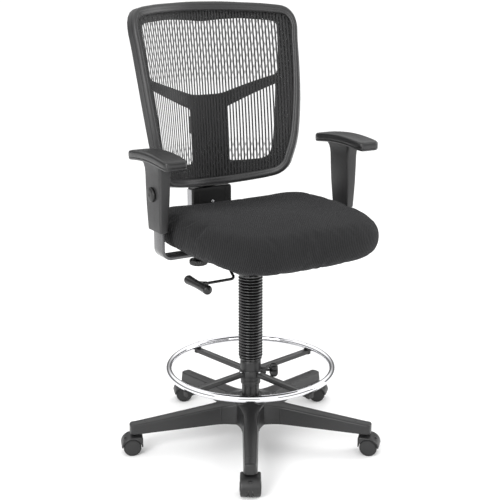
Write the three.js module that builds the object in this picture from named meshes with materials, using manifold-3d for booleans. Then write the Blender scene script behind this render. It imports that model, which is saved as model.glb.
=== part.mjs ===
// Drafting chair: five-star caster base, gas lift under a bellows, chrome foot ring,
// padded seat, mesh back on a ratchet upright, and two height- and width-adjustable arms.
// Millimetres, +Z up, sitter faces -Y. The floor is z = 0 and the column stands on x = y = 0
// until the last lines centre the whole chair on its own footprint.
import * as THREE from 'three';
import { mergeVertices } from 'three/addons/utils/BufferGeometryUtils.js';
import Module from 'manifold-3d';

const wasm = await Module();
wasm.setup();

// ---------- driving dimensions ----------
const gap = 0.3;                 // clearance kept between neighbouring pieces

const base = {
  arms: 5, firstArmDeg: -121, tipRadius: 359, tipHalf: 19, rootHalf: 25,
  tipTop: 91, tipBottom: 62, rootTop: 121, rootBottom: 60,
  hubRadius: 44, hubTop: 131, stemRadius: 335,
};
const caster = {
  wheelRadius: 25, wheelWidth: 22, webHalf: 6, trail: 19, axleRadius: 4,
  hoodInner: 26.8, hoodOuter: 30, hoodHalf: 28, stemRadius: 5.5,
  trailDeg: [-121, -45, -45, 160, 160],
};
const column = { outer: 25, inner: 23, bottom: 52, top: 290 };
const gas = { radius: 14, bore: 11, bottom: 240, top: 543 };
const bellows = { outer: 35, inner: 28.5, wall: 1.6, bottom: 245, top: 500, ribs: 14 };
const ring = { radius: 235.6, z: 219.8, tube: 9.5, hubRadius: 30, hubBottom: 170, hubTop: 243 };
const spoke = { firstDeg: 12, half: 9, bottom: 197, top: 210 };
const ringKnob = { deg: -26, radius: 22, inner: 56, outer: 80, z: 206 };
const housing = { half: 70, front: -75, rear: 85, bottom: 520, top: 598.6, wall: 3, flange: 16 };
const lever = { pivotY: -30, pivotZ: 534, gripX: -200, gripY: -60, gripZ: 514, rod: 4 };
const seat = { half: 268, front: -340, middle: -30, rear: 182, underside: 599, panTop: 609, top: 700 };
const arm = {
  x: 294, y: -26, barWidth: 50, barHalf: 4, barLow: 590, bend: 26, barTop: 800, barInner: 112,
  sleeveLow: 668, sleeveHigh: 851.2, buttonZ: 766, knobX: 179,
};
const pad = { x: 298, half: 35, front: -144, rear: 77, thick: 22, top: 877 };
const back = { bottom: 717, top: 1240, rim: 15, shellRim: 48, upright: 256 };

const colours = {
  plastic: 0x35363a, nylon: 0x303135, rubber: 0x1d1d1f, steel: 0x8f9296, blackSteel: 0x1b1c1e,
  chrome: 0xd9dbde, fabric: 0x2b2b2d, mesh: 0x242426, zinc: 0xb4b6b8,
};
const finish = (colour, roughness, metalness = 0) =>
  new THREE.MeshStandardMaterial({ color: colour, roughness, metalness });
const materials = {
  plastic: finish(colours.plastic, 0.55),
  nylon: finish(colours.nylon, 0.6),
  rubber: finish(colours.rubber, 0.7),
  steel: finish(colours.steel, 0.35, 1),
  blackSteel: finish(colours.blackSteel, 0.4, 0.4),
  chrome: finish(colours.chrome, 0.08, 1),
  fabric: finish(colours.fabric, 0.95),
  mesh: finish(colours.mesh, 0.9),
  zinc: finish(colours.zinc, 0.4, 1),
};

// ---------- shared geometry helpers ----------
const radians = THREE.MathUtils.degToRad;
const polar = (radius, degrees, z = 0) =>
  new THREE.Vector3(radius * Math.cos(radians(degrees)), radius * Math.sin(radians(degrees)), z);

// A closed profile of [radius, height] pairs turned about Z.
function turned(profile, segments = 24) {
  const points = profile.map(([r, z]) => new THREE.Vector2(r, z));
  return new THREE.LatheGeometry(points, segments).rotateX(Math.PI / 2);
}

// A ring of rectangular section: radii inner..outer, heights low..high.
const collar = (inner, outer, low, high, segments = 24) =>
  turned([[inner, low], [outer, low], [outer, high], [inner, high], [inner, low]], segments);

const disc = (radius, low, high, segments = 24) =>
  turned([[0, low], [radius, low], [radius, high], [0, high]], segments);

function box(x0, x1, y0, y1, z0, z1) {
  return new THREE.BoxGeometry(x1 - x0, y1 - y0, z1 - z0)
    .translate((x0 + x1) / 2, (y0 + y1) / 2, (z0 + z1) / 2);
}

const extruded = (shape, depth, curveSegments = 12) =>
  new THREE.ExtrudeGeometry(shape, { depth, bevelEnabled: false, curveSegments });

// A shape drawn in x and z, given thickness along +Y from y0 to y1.
const standing = (shape, y0, y1, curveSegments = 12) =>
  extruded(shape, y1 - y0, curveSegments).rotateX(Math.PI / 2).translate(0, y1, 0);

// A rod of round section along straight runs whose corners are rounded by bend.
function bentRod(corners, radius, bend, steps) {
  const points = corners.map((p) => new THREE.Vector3(...p));
  const path = new THREE.CurvePath();
  let from = points[0];
  for (let i = 1; i < points.length - 1; i += 1) {
    const before = points[i - 1].clone().sub(points[i]).setLength(bend).add(points[i]);
    const after = points[i + 1].clone().sub(points[i]).setLength(bend).add(points[i]);
    path.add(new THREE.LineCurve3(from, before));
    path.add(new THREE.QuadraticBezierCurve3(before, points[i], after));
    from = after;
  }
  path.add(new THREE.LineCurve3(from, points[points.length - 1]));
  const section = new THREE.Shape();
  section.absarc(0, 0, radius, 0, 2 * Math.PI, false);
  return new THREE.ExtrudeGeometry(section, { steps, extrudePath: path, bevelEnabled: false, curveSegments: 4 });
}

// A closed body through loops of equal length; the end loops are capped with fans.
function loft(loops) {
  const count = loops[0].length;
  const positions = loops.flat().flatMap((p) => [p.x, p.y, p.z]);
  const faces = [];
  for (let i = 0; i < loops.length - 1; i += 1) {
    for (let j = 0; j < count; j += 1) {
      const a = i * count + j;
      const b = i * count + ((j + 1) % count);
      faces.push(a, b, b + count, a, b + count, a + count);
    }
  }
  const last = (loops.length - 1) * count;
  for (let j = 1; j < count - 1; j += 1) {
    faces.push(0, j + 1, j, last, last + j, last + j + 1);
  }
  const geometry = new THREE.BufferGeometry();
  geometry.setAttribute('position', new THREE.Float32BufferAttribute(positions, 3));
  geometry.setIndex(faces);
  return geometry;
}

// An eight-cornered loop: a rectangle of half sizes a and b with its corners cut by c.
function octagon(a, b, c) {
  return [[a - c, -b], [a, -b + c], [a, b - c], [a - c, b], [-a + c, b], [-a, b - c], [-a, -b + c], [-a + c, -b]];
}

function toSolid(geometry) {
  const plain = geometry.clone();
  plain.deleteAttribute('normal');
  plain.deleteAttribute('uv');
  const merged = mergeVertices(plain, 1e-4);
  return new wasm.Manifold(new wasm.Mesh({
    numProp: 3,
    vertProperties: new Float32Array(merged.attributes.position.array),
    triVerts: new Uint32Array(merged.index.array),
  }));
}

function fromSolid(solid) {
  const mesh = solid.getMesh();
  const geometry = new THREE.BufferGeometry();
  geometry.setAttribute('position', new THREE.Float32BufferAttribute(mesh.vertProperties, 3));
  geometry.setIndex([...mesh.triVerts]);
  return geometry;
}

const joined = (...parts) => fromSolid(parts.map(toSolid).reduce((a, b) => a.add(b)));
const cut = (body, ...tools) => fromSolid(tools.map(toSolid).reduce((a, b) => a.subtract(b), toSolid(body)));

// The same body on the other side of the plane x = 0.
function mirrored(geometry) {
  const copy = geometry.index ? geometry.toNonIndexed() : geometry.clone();
  copy.scale(-1, 1, 1);
  const p = copy.attributes.position;
  for (let i = 0; i < p.count; i += 3) {
    const second = [p.getX(i + 1), p.getY(i + 1), p.getZ(i + 1)];
    p.setXYZ(i + 1, p.getX(i + 2), p.getY(i + 2), p.getZ(i + 2));
    p.setXYZ(i + 2, ...second);
  }
  return copy;
}

const chair = new THREE.Group();
function add(name, geometry, material) {
  geometry.deleteAttribute('normal');
  geometry.computeVertexNormals();
  const mesh = new THREE.Mesh(geometry, material);
  mesh.name = name;
  chair.add(mesh);
  return mesh;
}

// ---------- five-star base ----------
// One arm along +X: a tapering chamfered beam, hollow from below, with a stem socket at its tip.
function baseArm() {
  const { tipRadius, tipHalf, rootHalf, tipTop, tipBottom, rootTop, rootBottom } = base;
  const station = (r, half, top, low) => octagon(half, (top - low) / 2, Math.min(7, half / 3))
    .map(([y, z]) => new THREE.Vector3(r, y, (top + low) / 2 + z));
  const mix = (t, a, b) => a + (b - a) * t;
  const at = (r, t) => station(r, mix(t, rootHalf, tipHalf), mix(t, rootTop, tipTop), mix(t, rootBottom, tipBottom));
  const beam = loft([
    at(20, 0), at(90, 0.3), at(200, 0.62), at(318, 1), at(tipRadius - 10, 1),
    station(tipRadius, tipHalf - 7, tipTop - 5, tipBottom + 3),
  ]);
  const trough = loft([[64, 17, 96], [312, 12, 82]].map(([r, half, top]) => [
    [half, 40], [half, top], [-half, top], [-half, 40],
  ].map(([y, z]) => new THREE.Vector3(r, y, z))));
  const socket = disc(caster.stemRadius + gap, 40, 84, 12).translate(base.stemRadius, 0, 0);
  return cut(beam, trough, socket);
}

function starBase() {
  const arms = Array.from({ length: base.arms }, (_, i) =>
    baseArm().rotateZ(radians(base.firstArmDeg + (i * 360) / base.arms)));
  const hub = turned([[0, 50], [40, 50], [56, 66], [58, 100], [base.hubRadius, 122],
    [base.hubRadius - 4, base.hubTop], [0, base.hubTop]], 24);
  const bore = disc(column.outer + gap, column.bottom - gap, base.hubTop + 1, 24);
  const floorHole = disc(12, 40, column.bottom, 16);
  return cut(joined(hub, ...arms), bore, floorHole);
}

add('star_base', starBase(), materials.nylon);

// ---------- casters: hood with axle, stem, two wheels ----------
// Built about the stem axis at the origin, trailing towards +X.
function casterHood() {
  const { wheelRadius, trail, hoodInner, hoodOuter, hoodHalf, webHalf, axleRadius } = caster;
  const cover = new THREE.Shape();
  cover.absarc(trail, wheelRadius, hoodOuter, radians(8), radians(172), false);
  cover.absarc(trail, wheelRadius, hoodInner, radians(172), radians(8), true);
  cover.closePath();
  const web = new THREE.Shape();
  web.absarc(trail, wheelRadius, hoodOuter - 1, radians(-20), radians(200), false);
  web.absarc(trail, wheelRadius, 8, radians(200), radians(-20), false);
  web.closePath();
  const axle = new THREE.CylinderGeometry(axleRadius, axleRadius, 2 * (hoodHalf - 3), 10)
    .translate(trail, 0, wheelRadius);
  const boss = disc(11.5, 2 * wheelRadius + 0.6, 60, 12);
  const body = joined(standing(cover, -hoodHalf, hoodHalf, 5), standing(web, -webHalf, webHalf, 4), axle, boss);
  return cut(body, disc(caster.stemRadius + gap, 44, 70, 10));
}

const casterStem = () => turned([[0, 44 + gap], [5.5, 44 + gap], [5.5, 60 + gap], [8, 60 + gap],
  [8, 61.6], [5.5, 61.6], [5.5, 83.5], [0, 83.5]], 10);

// A wheel on the +Y side of the web, its axle bore blind at the outer face.
function casterWheel() {
  const { wheelRadius: r, wheelWidth: w, axleRadius } = caster;
  const inner = caster.webHalf + gap + 0.4;
  const bore = axleRadius + gap;
  return turned([[bore, inner], [r - 1, inner], [r, inner + 1], [r, inner + w - 4], [r - 5, inner + w],
    [0, inner + w], [0, inner + w - 2.4], [bore, inner + w - 2.4], [bore, inner]], 14)
    .rotateX(-Math.PI / 2).translate(caster.trail, 0, r);
}

for (let i = 0; i < base.arms; i += 1) {
  const armDeg = base.firstArmDeg + (i * 360) / base.arms;
  const group = new THREE.Group();
  group.position.copy(polar(base.stemRadius, armDeg));
  group.rotation.z = radians(caster.trailDeg[i]);
  chair.add(group);
  group.add(add(`caster_hood_${i + 1}`, casterHood(), materials.nylon));
  group.add(add(`caster_stem_${i + 1}`, casterStem(), materials.zinc));
  group.add(add(`caster_wheel_left_${i + 1}`, casterWheel(), materials.rubber));
  const right = casterWheel().translate(-caster.trail, 0, 0).rotateZ(Math.PI).translate(caster.trail, 0, 0);
  group.add(add(`caster_wheel_right_${i + 1}`, right, materials.rubber));
}

// ---------- column and gas lift ----------
add('column_tube', turned([[5.6, column.bottom], [column.outer, column.bottom], [column.outer, column.top],
  [column.inner, column.top], [column.inner, 56], [5.6, 56], [5.6, column.bottom]], 24), materials.blackSteel);
add('guide_sleeve', turned([[gas.radius + gap, 150], [column.inner - gap, 150],
  [column.inner - gap, column.top + gap], [column.outer, column.top + gap], [column.outer, 293],
  [gas.radius + gap, 293], [gas.radius + gap, 150]], 24), materials.plastic);
add('rod_clip', collar(4.9, 9, 48.5, 50.5, 16), materials.zinc);
add('thrust_bearing', collar(5.5, 13, 56 + gap, 60, 20), materials.steel);
add('piston_rod', turned([[0, 45], [4.6, 45], [4.6, 60 + gap], [6, 60 + gap], [6, 255], [gas.bore - gap, 255],
  [gas.bore - gap, 265], [0, 265]], 18), materials.steel);
add('gas_cylinder', turned([[7, gas.bottom], [gas.radius, gas.bottom], [gas.radius, 500], [12.6, gas.top],
  [3.4, gas.top], [3.4, 533], [0, 533], [0, 527], [gas.bore, 527], [gas.bore, 245], [7, 245], [7, gas.bottom]], 24),
materials.blackSteel);
add('release_pin', turned([[0, 538], [3, 538], [3, 549.5], [2.4, 550.2], [0, 550.2]], 12), materials.zinc);

function bellowsTube() {
  const { outer, inner, wall, bottom, top, ribs } = bellows;
  const pitch = (top - bottom) / ribs;
  const outside = [];
  for (let i = 0; i < ribs; i += 1) {
    outside.push([inner + wall, bottom + i * pitch], [outer, bottom + (i + 0.5) * pitch]);
  }
  outside.push([inner + wall, top]);
  return turned([...outside, [inner, top], [inner, bottom], outside[0]], 16);
}
add('bellows', bellowsTube(), materials.rubber);

// ---------- foot ring ----------
function footringTube() {
  const profile = [];
  const sides = 8;
  for (let i = 0; i <= sides; i += 1) {
    const a = (i / sides) * 2 * Math.PI;
    profile.push([ring.radius + ring.tube * Math.cos(a), ring.z + ring.tube * Math.sin(a)]);
  }
  return turned(profile, 48);
}
add('footring', footringTube(), materials.chrome);

function footringHub() {
  const { hubRadius, hubBottom, hubTop } = ring;
  const inner = column.outer + gap;
  const sleeve = turned([[inner, hubBottom], [hubRadius - 1.5, hubBottom], [hubRadius, hubBottom + 2],
    [hubRadius, hubTop - 2], [hubRadius - 1.5, hubTop], [inner, hubTop], [inner, hubBottom]], 28);
  const screwBoss = new THREE.CylinderGeometry(9, 9, 16, 14).rotateZ(Math.PI / 2).translate(36, 0, ringKnob.z)
    .rotateZ(radians(ringKnob.deg));
  const core = disc(inner, hubBottom - 1, hubTop + 1, 28);
  const thread = new THREE.CylinderGeometry(4 + gap, 4 + gap, 60, 12).rotateZ(Math.PI / 2)
    .translate(50, 0, ringKnob.z).rotateZ(radians(ringKnob.deg));
  return cut(joined(sleeve, screwBoss), core, thread);
}
add('footring_hub', footringHub(), materials.nylon);

for (let i = 0; i < 4; i += 1) {
  const deg = spoke.firstDeg + i * 90;
  const bar = box(ring.hubRadius + gap, ring.radius + 7, -spoke.half, spoke.half, spoke.bottom, spoke.top);
  add(`footring_spoke_${i + 1}`, bar.rotateZ(radians(deg)), materials.blackSteel);
}

// Six-lobed hand knob about +X with its clamp screw.
function lobedKnob(radius, lobes, inner, outer) {
  const outline = new THREE.Shape();
  const steps = lobes * 4;
  for (let i = 0; i < steps; i += 1) {
    const a = (i / steps) * 2 * Math.PI;
    const r = radius * (0.93 + 0.07 * Math.cos(lobes * a));
    if (i === 0) outline.moveTo(r, 0);
    else outline.lineTo(r * Math.cos(a), r * Math.sin(a));
  }
  outline.closePath();
  return extruded(outline, outer - inner).rotateY(Math.PI / 2).translate(inner, 0, 0);
}
const clampKnob = joined(
  lobedKnob(ringKnob.radius, 6, ringKnob.inner, ringKnob.outer),
  new THREE.CylinderGeometry(4, 4, 34, 12).rotateZ(Math.PI / 2).translate(column.outer + gap + 18, 0, 0),
).translate(0, 0, ringKnob.z).rotateZ(radians(ringKnob.deg));
add('footring_knob', clampKnob, materials.plastic);

// ---------- mechanism under the seat ----------
function mechanismHousing() {
  const { half, front, rear, bottom, top, wall, flange } = housing;
  const outside = box(-half, half, front, rear, bottom, top);
  const inside = box(-half + wall, half - wall, front + wall, rear - wall, bottom + wall, top + 1);
  const rim = cut(
    box(-half - flange, half + flange, front - flange, rear, top - 4, top),
    box(-half + wall, half - wall, front + wall, rear - wall, top - 6, top + 1),
  );
  const shell = joined(cut(outside, inside), rim, disc(20, 503, 545, 24));
  const taper = disc(gas.radius + gap, 490, 560, 24);
  const rodHole = new THREE.CylinderGeometry(lever.rod + 3, lever.rod + 3, 40, 16)
    .rotateZ(Math.PI / 2).translate(-half, lever.pivotY, lever.pivotZ);
  const journal = new THREE.CylinderGeometry(lever.rod + gap, lever.rod + gap, 20, 14)
    .rotateZ(Math.PI / 2).translate(half, lever.pivotY, lever.pivotZ);
  return cut(shell, taper, rodHole, journal);
}
add('mechanism_housing', mechanismHousing(), materials.blackSteel);

add('lever_bushing', collar(lever.rod + 0.5, lever.rod + 2.7, -5, 5, 16).rotateY(Math.PI / 2)
  .translate(-housing.half, lever.pivotY, lever.pivotZ), materials.plastic);

function leverRod() {
  const { pivotY, pivotZ, gripX, gripY, gripZ, rod } = lever;
  const crank = bentRod([
    [73, pivotY, pivotZ], [-86, pivotY, pivotZ], [-86, gripY, gripZ], [gripX + 24, gripY, gripZ],
  ], rod, 9, 26);
  const [fingerUnder, fingerTop] = [gas.top + 7.6, gas.top + 14];
  const finger = new THREE.Shape();
  finger.moveTo(pivotY - 3, pivotZ - 2);
  finger.lineTo(pivotY + 5, pivotZ - 2);
  finger.lineTo(pivotY + 6, fingerUnder);
  finger.lineTo(2, fingerUnder);
  finger.lineTo(2, fingerTop);
  finger.lineTo(pivotY - 3, fingerTop);
  finger.closePath();
  const plate = extruded(finger, 10).rotateX(Math.PI / 2).rotateZ(Math.PI / 2).translate(-5, 0, 0);
  return joined(crank, plate);
}
add('lever_rod', leverRod(), materials.blackSteel);

// A cross grip with rounded ends and a boss that takes the rod.
function leverHandle() {
  const { gripX, gripY, gripZ, rod } = lever;
  const half = 61;
  const grip = loft([[-half, 3], [-half + 3, 7.5], [-half + 9, 10], [-18, 9], [18, 9], [half - 9, 10],
    [half - 3, 7.5], [half, 3]].map(([y, r]) => Array.from({ length: 12 }, (_, i) => {
    const a = (i / 12) * 2 * Math.PI;
    return new THREE.Vector3(-r * Math.cos(a), y, r * Math.sin(a));
  })));
  const boss = loft([[0, 9, 15], [20, 7.5, 8], [27, 6.5, 6.5]].map(([x, z, y]) =>
    octagon(y, z, 3).map(([a, b]) => new THREE.Vector3(x, a, b))));
  const socket = new THREE.CylinderGeometry(rod + gap, rod + gap, 30, 12).rotateZ(Math.PI / 2)
    .translate(22.5 + 15, 0, 0);
  return cut(joined(grip, boss), socket).translate(gripX, gripY, gripZ);
}
add('lever_handle', leverHandle(), materials.plastic);

// ---------- seat ----------
// Plan outline: a superellipse about the middle, squarer at the front; the front edge droops.
function seatLoop(scale, height, inset = 0, droop = 0, count = 32) {
  const loop = [];
  for (let i = 0; i < count; i += 1) {
    const a = (i / count) * 2 * Math.PI;
    const [c, s] = [Math.cos(a), Math.sin(a)];
    const power = s < 0 ? 3.7 : 3.2;
    const length = s < 0 ? seat.middle - seat.front : seat.rear - seat.middle;
    const r = (Math.abs(c / (seat.half - inset)) ** power + Math.abs(s / (length - inset)) ** power) ** (-1 / power);
    const [x, y] = [r * c * scale, seat.middle + r * s * scale];
    const forward = THREE.MathUtils.clamp((-y - 100) / (-seat.front - 100), 0, 1);
    loop.push(new THREE.Vector3(x, y, height - droop * forward ** 2));
  }
  return loop;
}

add('seat_cushion', loft([
  seatLoop(1, seat.panTop + gap, 24), seatLoop(1, 602, 22), seatLoop(0.96, 601, 0, 22),
  seatLoop(0.985, 611, 0, 22), seatLoop(1, 634, 0, 20), seatLoop(0.998, 657, 0, 16), seatLoop(0.975, 679, 0, 13),
  seatLoop(0.92, 692, 0, 11), seatLoop(0.8, 698, 0, 8), seatLoop(0.62, seat.top),
]), materials.fabric);

function seatPan() {
  const plate = loft([seatLoop(1, seat.underside, 27), seatLoop(1, seat.panTop, 27)]);
  const studHoles = [-1, 1].map((side) => disc(4 + gap, 590, 620, 12).translate(side * arm.knobX, arm.y, 0));
  return cut(plate, ...studHoles);
}
add('seat_pan', seatPan(), materials.plastic);

// ---------- mesh back ----------
// The back is a dished surface: its middle leans back as it rises and its sides wrap forward.
function backDepth(x, z) {
  const t = (z - back.bottom) / (back.top - back.bottom);
  const middle = 219 + 16 * t + 33 * t * t;
  const wrap = 160 - 89 * t;
  return middle - wrap * (x / 262) ** 2;
}

// The place a given distance behind that surface, square to it.
function behindBack(x, z, offset) {
  const step = 0.5;
  const rise = (backDepth(x + step, z) - backDepth(x - step, z)) / (2 * step);
  const lean = (backDepth(x, z + step) - backDepth(x, z - step)) / (2 * step);
  const normal = new THREE.Vector3(-rise, 1, -lean).normalize();
  return [x + normal.x * offset, backDepth(x, z) + normal.y * offset, z + normal.z * offset];
}

// A plate on that surface: rows of [x, z] places, thick from near to far in front of and behind it.
function laidPlate(rows, near, far) {
  const across = rows[0].length;
  const count = across * rows.length;
  const positions = [near, far].flatMap((offset) =>
    rows.flat().flatMap(([x, z]) => [x, backDepth(x, z) + offset, z]));
  const at = (j, i) => j * across + i;
  const faces = [];
  const quad = (a, b, c, d) => faces.push(a, b, c, a, c, d);
  const strips = rows.length - 1;
  for (let j = 0; j < strips; j += 1) {
    for (let i = 0; i < across - 1; i += 1) {
      quad(at(j, i), at(j, i + 1), at(j + 1, i + 1), at(j + 1, i));
      quad(count + at(j + 1, i), count + at(j + 1, i + 1), count + at(j, i + 1), count + at(j, i));
    }
    const edge = across - 1;
    quad(at(j, 0), at(j + 1, 0), count + at(j + 1, 0), count + at(j, 0));
    quad(at(j, edge), count + at(j, edge), count + at(j + 1, edge), at(j + 1, edge));
  }
  for (let i = 0; i < across - 1; i += 1) {
    quad(at(0, i), count + at(0, i), count + at(0, i + 1), at(0, i + 1));
    quad(at(strips, i), at(strips, i + 1), count + at(strips, i + 1), count + at(strips, i));
  }
  const geometry = new THREE.BufferGeometry();
  geometry.setAttribute('position', new THREE.Float32BufferAttribute(positions, 3));
  geometry.setIndex(faces);
  return geometry;
}

// The right side of the back's outline from the bottom to the top, moved in by an inset that may widen
// towards the bottom and top edges.
const backEdge = [[55, 718.5], [110, 725], [158, 735], [187, 746], [207, 768], [218, 800], [231, 850], [245, 950],
  [254, 1050], [259.5, 1130], [263, 1176], [257, 1204], [240, 1223], [190, 1232], [110, 1237], [55, 1239.5]];
function backSide(inset, widen = 0) {
  return backEdge.map(([x, z], i) => {
    const [ax, az] = backEdge[Math.max(i - 1, 0)];
    const [bx, bz] = backEdge[Math.min(i + 1, backEdge.length - 1)];
    const normal = new THREE.Vector2(bz - az, ax - bx).normalize();
    const reach = inset * (1 + widen * Math.abs(normal.y));
    return [x - normal.x * reach, z - normal.y * reach];
  });
}

// The whole outline as a smooth closed loop, in step with itself at any inset.
function backLoop(inset, widen) {
  const side = backSide(inset, widen);
  const reach = inset * (1 + widen);
  const loop = [[0, back.bottom + reach], ...side, [0, back.top - reach],
    ...side.map(([x, z]) => [-x, z]).reverse()];
  const curve = new THREE.CatmullRomCurve3(loop.map(([x, z]) => new THREE.Vector3(x, 0, z)), true, 'centripetal');
  return curve.getPoints(loop.length * 2).slice(0, -1).map((p) => [p.x, p.z]);
}

// A frame that follows the outline with one section all round: [inset, offset] corners, outermost first.
function outlineFrame(section, widen = 0) {
  const loops = section.map(([inset, offset]) =>
    backLoop(inset, widen).map(([x, z]) => behindBack(x, z, offset)));
  const [corners, count] = [section.length, loops[0].length];
  const faces = [];
  for (let i = 0; i < count; i += 1) {
    for (let k = 0; k < corners; k += 1) {
      const a = i * corners + k;
      const b = i * corners + ((k + 1) % corners);
      const [c, d] = [a, b].map((v) => (v + corners) % (corners * count));
      faces.push(a, d, b, a, c, d);
    }
  }
  const positions = loops[0].flatMap((_, i) => loops.flatMap((loop) => loop[i]));
  const geometry = new THREE.BufferGeometry();
  geometry.setAttribute('position', new THREE.Float32BufferAttribute(positions, 3));
  geometry.setIndex(faces);
  return geometry;
}
const { rim, shellRim } = back;
add('back_bezel', outlineFrame([[0, -2], [0, -10], [3, -14], [rim - 4, -14], [rim, -11], [rim, -2]], 0.6),
  materials.plastic);

// Behind the mesh: a deep rim with a thin inner ledge, two rising arms and the wide middle column.
function backShell() {
  const steps = (from, to, count) => Array.from({ length: count + 1 }, (_, i) => from + ((to - from) * i) / count);
  const ledge = rim - 1;
  const frame = outlineFrame([[0, 15], [0, 2], [ledge, 2], [ledge, 9], [shellRim, 9], [shellRim, 16]]);
  const arms = steps(-215, 215, 12).map((x) =>
    [[x, 979 + 0.345 * Math.max(Math.abs(x) - 45, 0)], [x, 943 + 0.44 * Math.max(Math.abs(x) - 60, 0)]]);
  const column = steps(back.bottom + 25, 975, 5).map((z) => steps(-58, 58, 2).map((x) => [x, z]));
  return joined(frame, laidPlate(arms, 12, 17), laidPlate(column, 8, 18));
}
add('back_shell', backShell(), materials.plastic);

// The stretched mesh, its edge held between the bezel and the shell; its top and bottom edges bow outwards.
function backMesh() {
  const across = 20;
  const rows = backSide(9).slice(3, -3).map(([half, z], j, all) => {
    const bow = 8 * Math.max(0, (j - all.length + 3) / 2) - 20 * Math.max(0, (2 - j) / 2);
    return Array.from({ length: across + 1 }, (_, i) => {
      const u = (2 * i) / across - 1;
      return [u * half, z + bow * (1 - u * u)];
    });
  });
  return laidPlate(rows, -0.7, 0.7);
}
add('back_mesh', backMesh(), materials.mesh);

// ---------- back upright, its cover and the ratchet carriage ----------
const uprightBar = { half: 30, thick: 8, low: 590, top: 975, start: 93, bend: 34 };
function backUpright() {
  const { half, thick, low, top, start, bend } = uprightBar;
  const rear = back.upright + thick;
  const side = new THREE.Shape();
  side.moveTo(start, low);
  side.absarc(rear - bend, low + bend, bend, -Math.PI / 2, 0, false);
  side.lineTo(rear, top);
  side.lineTo(rear - thick, top);
  side.absarc(rear - bend, low + bend, bend - thick, 0, -Math.PI / 2, true);
  side.lineTo(start, low + thick);
  side.closePath();
  return extruded(side, 2 * half, 6).rotateX(Math.PI / 2).rotateZ(Math.PI / 2).translate(-half, 0, 0);
}
add('back_upright', backUpright(), materials.blackSteel);

function uprightCover() {
  const slot = uprightBar.half + 1;
  const shell = loft([[628, 62, 24], [640, 68, 26], [703, 68, 26], [712, 65, 24]].map(([z, half, deep]) =>
    octagon(half, deep, 5).map(([x, y]) => new THREE.Vector3(x, 244 + y, z))));
  return cut(shell, box(-slot, slot, back.upright - gap, back.upright + uprightBar.thick + gap, 600, 820));
}
add('upright_cover', uprightCover(), materials.plastic);

function backCarriage() {
  const slot = uprightBar.half + 0.6;
  const block = box(-45, 45, 248.6, 278, 865, 915);
  return cut(block, box(-slot, slot, back.upright - 0.4, back.upright + uprightBar.thick + 0.4, 850, 930));
}
add('back_carriage', backCarriage(), materials.plastic);

// ---------- arms ----------
// Everything here is drawn for the +X side and mirrored for the other.
function armBar() {
  const { x, y, barWidth, barHalf, barLow, bend, barTop, barInner, knobX } = arm;
  const [outer, inner] = [x + barHalf, x - barHalf];
  const strip = new THREE.Shape();
  strip.moveTo(barInner, barLow);
  strip.absarc(outer - bend, barLow + bend, bend, -Math.PI / 2, 0, false);
  strip.lineTo(outer, barTop);
  strip.lineTo(inner, barTop);
  strip.absarc(outer - bend, barLow + bend, bend - 2 * barHalf, 0, -Math.PI / 2, true);
  strip.lineTo(barInner, barLow + 2 * barHalf);
  strip.closePath();
  const bar = standing(strip, y - barWidth / 2, y + barWidth / 2, 8);
  const slot = new THREE.Shape();
  slot.absarc(knobX + 26, y, 5, -Math.PI / 2, Math.PI / 2, false);
  slot.absarc(knobX - 26, y, 5, Math.PI / 2, 1.5 * Math.PI, false);
  slot.closePath();
  return cut(bar, extruded(slot, 20, 6).translate(0, 0, barLow - 5));
}

const armSection = (z, halfY, halfX, corner) => octagon(halfX, halfY, corner)
  .map(([x, y]) => new THREE.Vector3(arm.x + x, arm.y + y, z));

function armPost() {
  const body = loft([armSection(700, 29.5, 9.5, 2), armSection(arm.barTop + 3, 29.5, 9.5, 2)]);
  const half = arm.barWidth / 2 + gap;
  const room = box(arm.x - arm.barHalf - gap, arm.x + arm.barHalf + gap, arm.y - half, arm.y + half, 690, arm.barTop + gap);
  return cut(body, room);
}

function armSleeve() {
  const { sleeveLow, sleeveHigh } = arm;
  const body = loft([
    armSection(sleeveLow, 40, 14.5, 4), armSection(sleeveLow + 4, 41, 16, 5), armSection(769, 43.5, 16.5, 5),
    armSection(827, 44.5, 17, 5), armSection(843, 47, 19, 6), armSection(sleeveHigh, 54, 24, 8),
  ]);
  const cavity = box(arm.x - 10.3, arm.x + 10.3, arm.y - 30.5, arm.y + 30.5, sleeveLow - 5, 845);
  const along = (geometry) => geometry.rotateY(Math.PI / 2).translate(arm.x, arm.y, arm.buttonZ);
  return cut(body, cavity, along(disc(8.6, 5, 30, 14)), along(disc(19.5, 13.4, 30, 20)));
}

// A shallow disc that stands proud of its recess in the sleeve, with a short plunger behind it.
const armButton = () => turned([[0, 13.2], [8, 13.2], [8, 17], [19, 17], [19, 22], [16.5, 25], [0, 25]], 18)
  .rotateY(Math.PI / 2).translate(arm.x, arm.y, arm.buttonZ);

// Arched arm pad: level at the ends, raised in the middle, wider and rounder at the front.
function armPad() {
  const stations = 12;
  const loops = [];
  for (let i = 0; i <= stations; i += 1) {
    const t = i / stations;
    const y = pad.front + (pad.rear - pad.front) * t;
    const arch = 9 * Math.sin(Math.PI * t);
    const end = Math.min(1, Math.sqrt(Math.max(0, 1 - ((t - 0.5) / 0.5) ** 10)));
    const half = (pad.half - 5 * t) * (0.7 + 0.3 * end);
    const top = pad.top - 9 + arch;
    const thick = pad.thick * (0.8 + 0.2 * end);
    loops.push([[0.72, 0], [0.95, 0.12], [1, 0.4], [0.97, 0.72], [0.82, 0.93], [0.4, 1], [-0.4, 1], [-0.82, 0.93],
      [-0.97, 0.72], [-1, 0.4], [-0.95, 0.12], [-0.72, 0]].map(([u, v]) =>
      new THREE.Vector3(pad.x - 2 * t - half * u, y, top - thick * (1 - v))));
  }
  return loft(loops);
}

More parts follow.
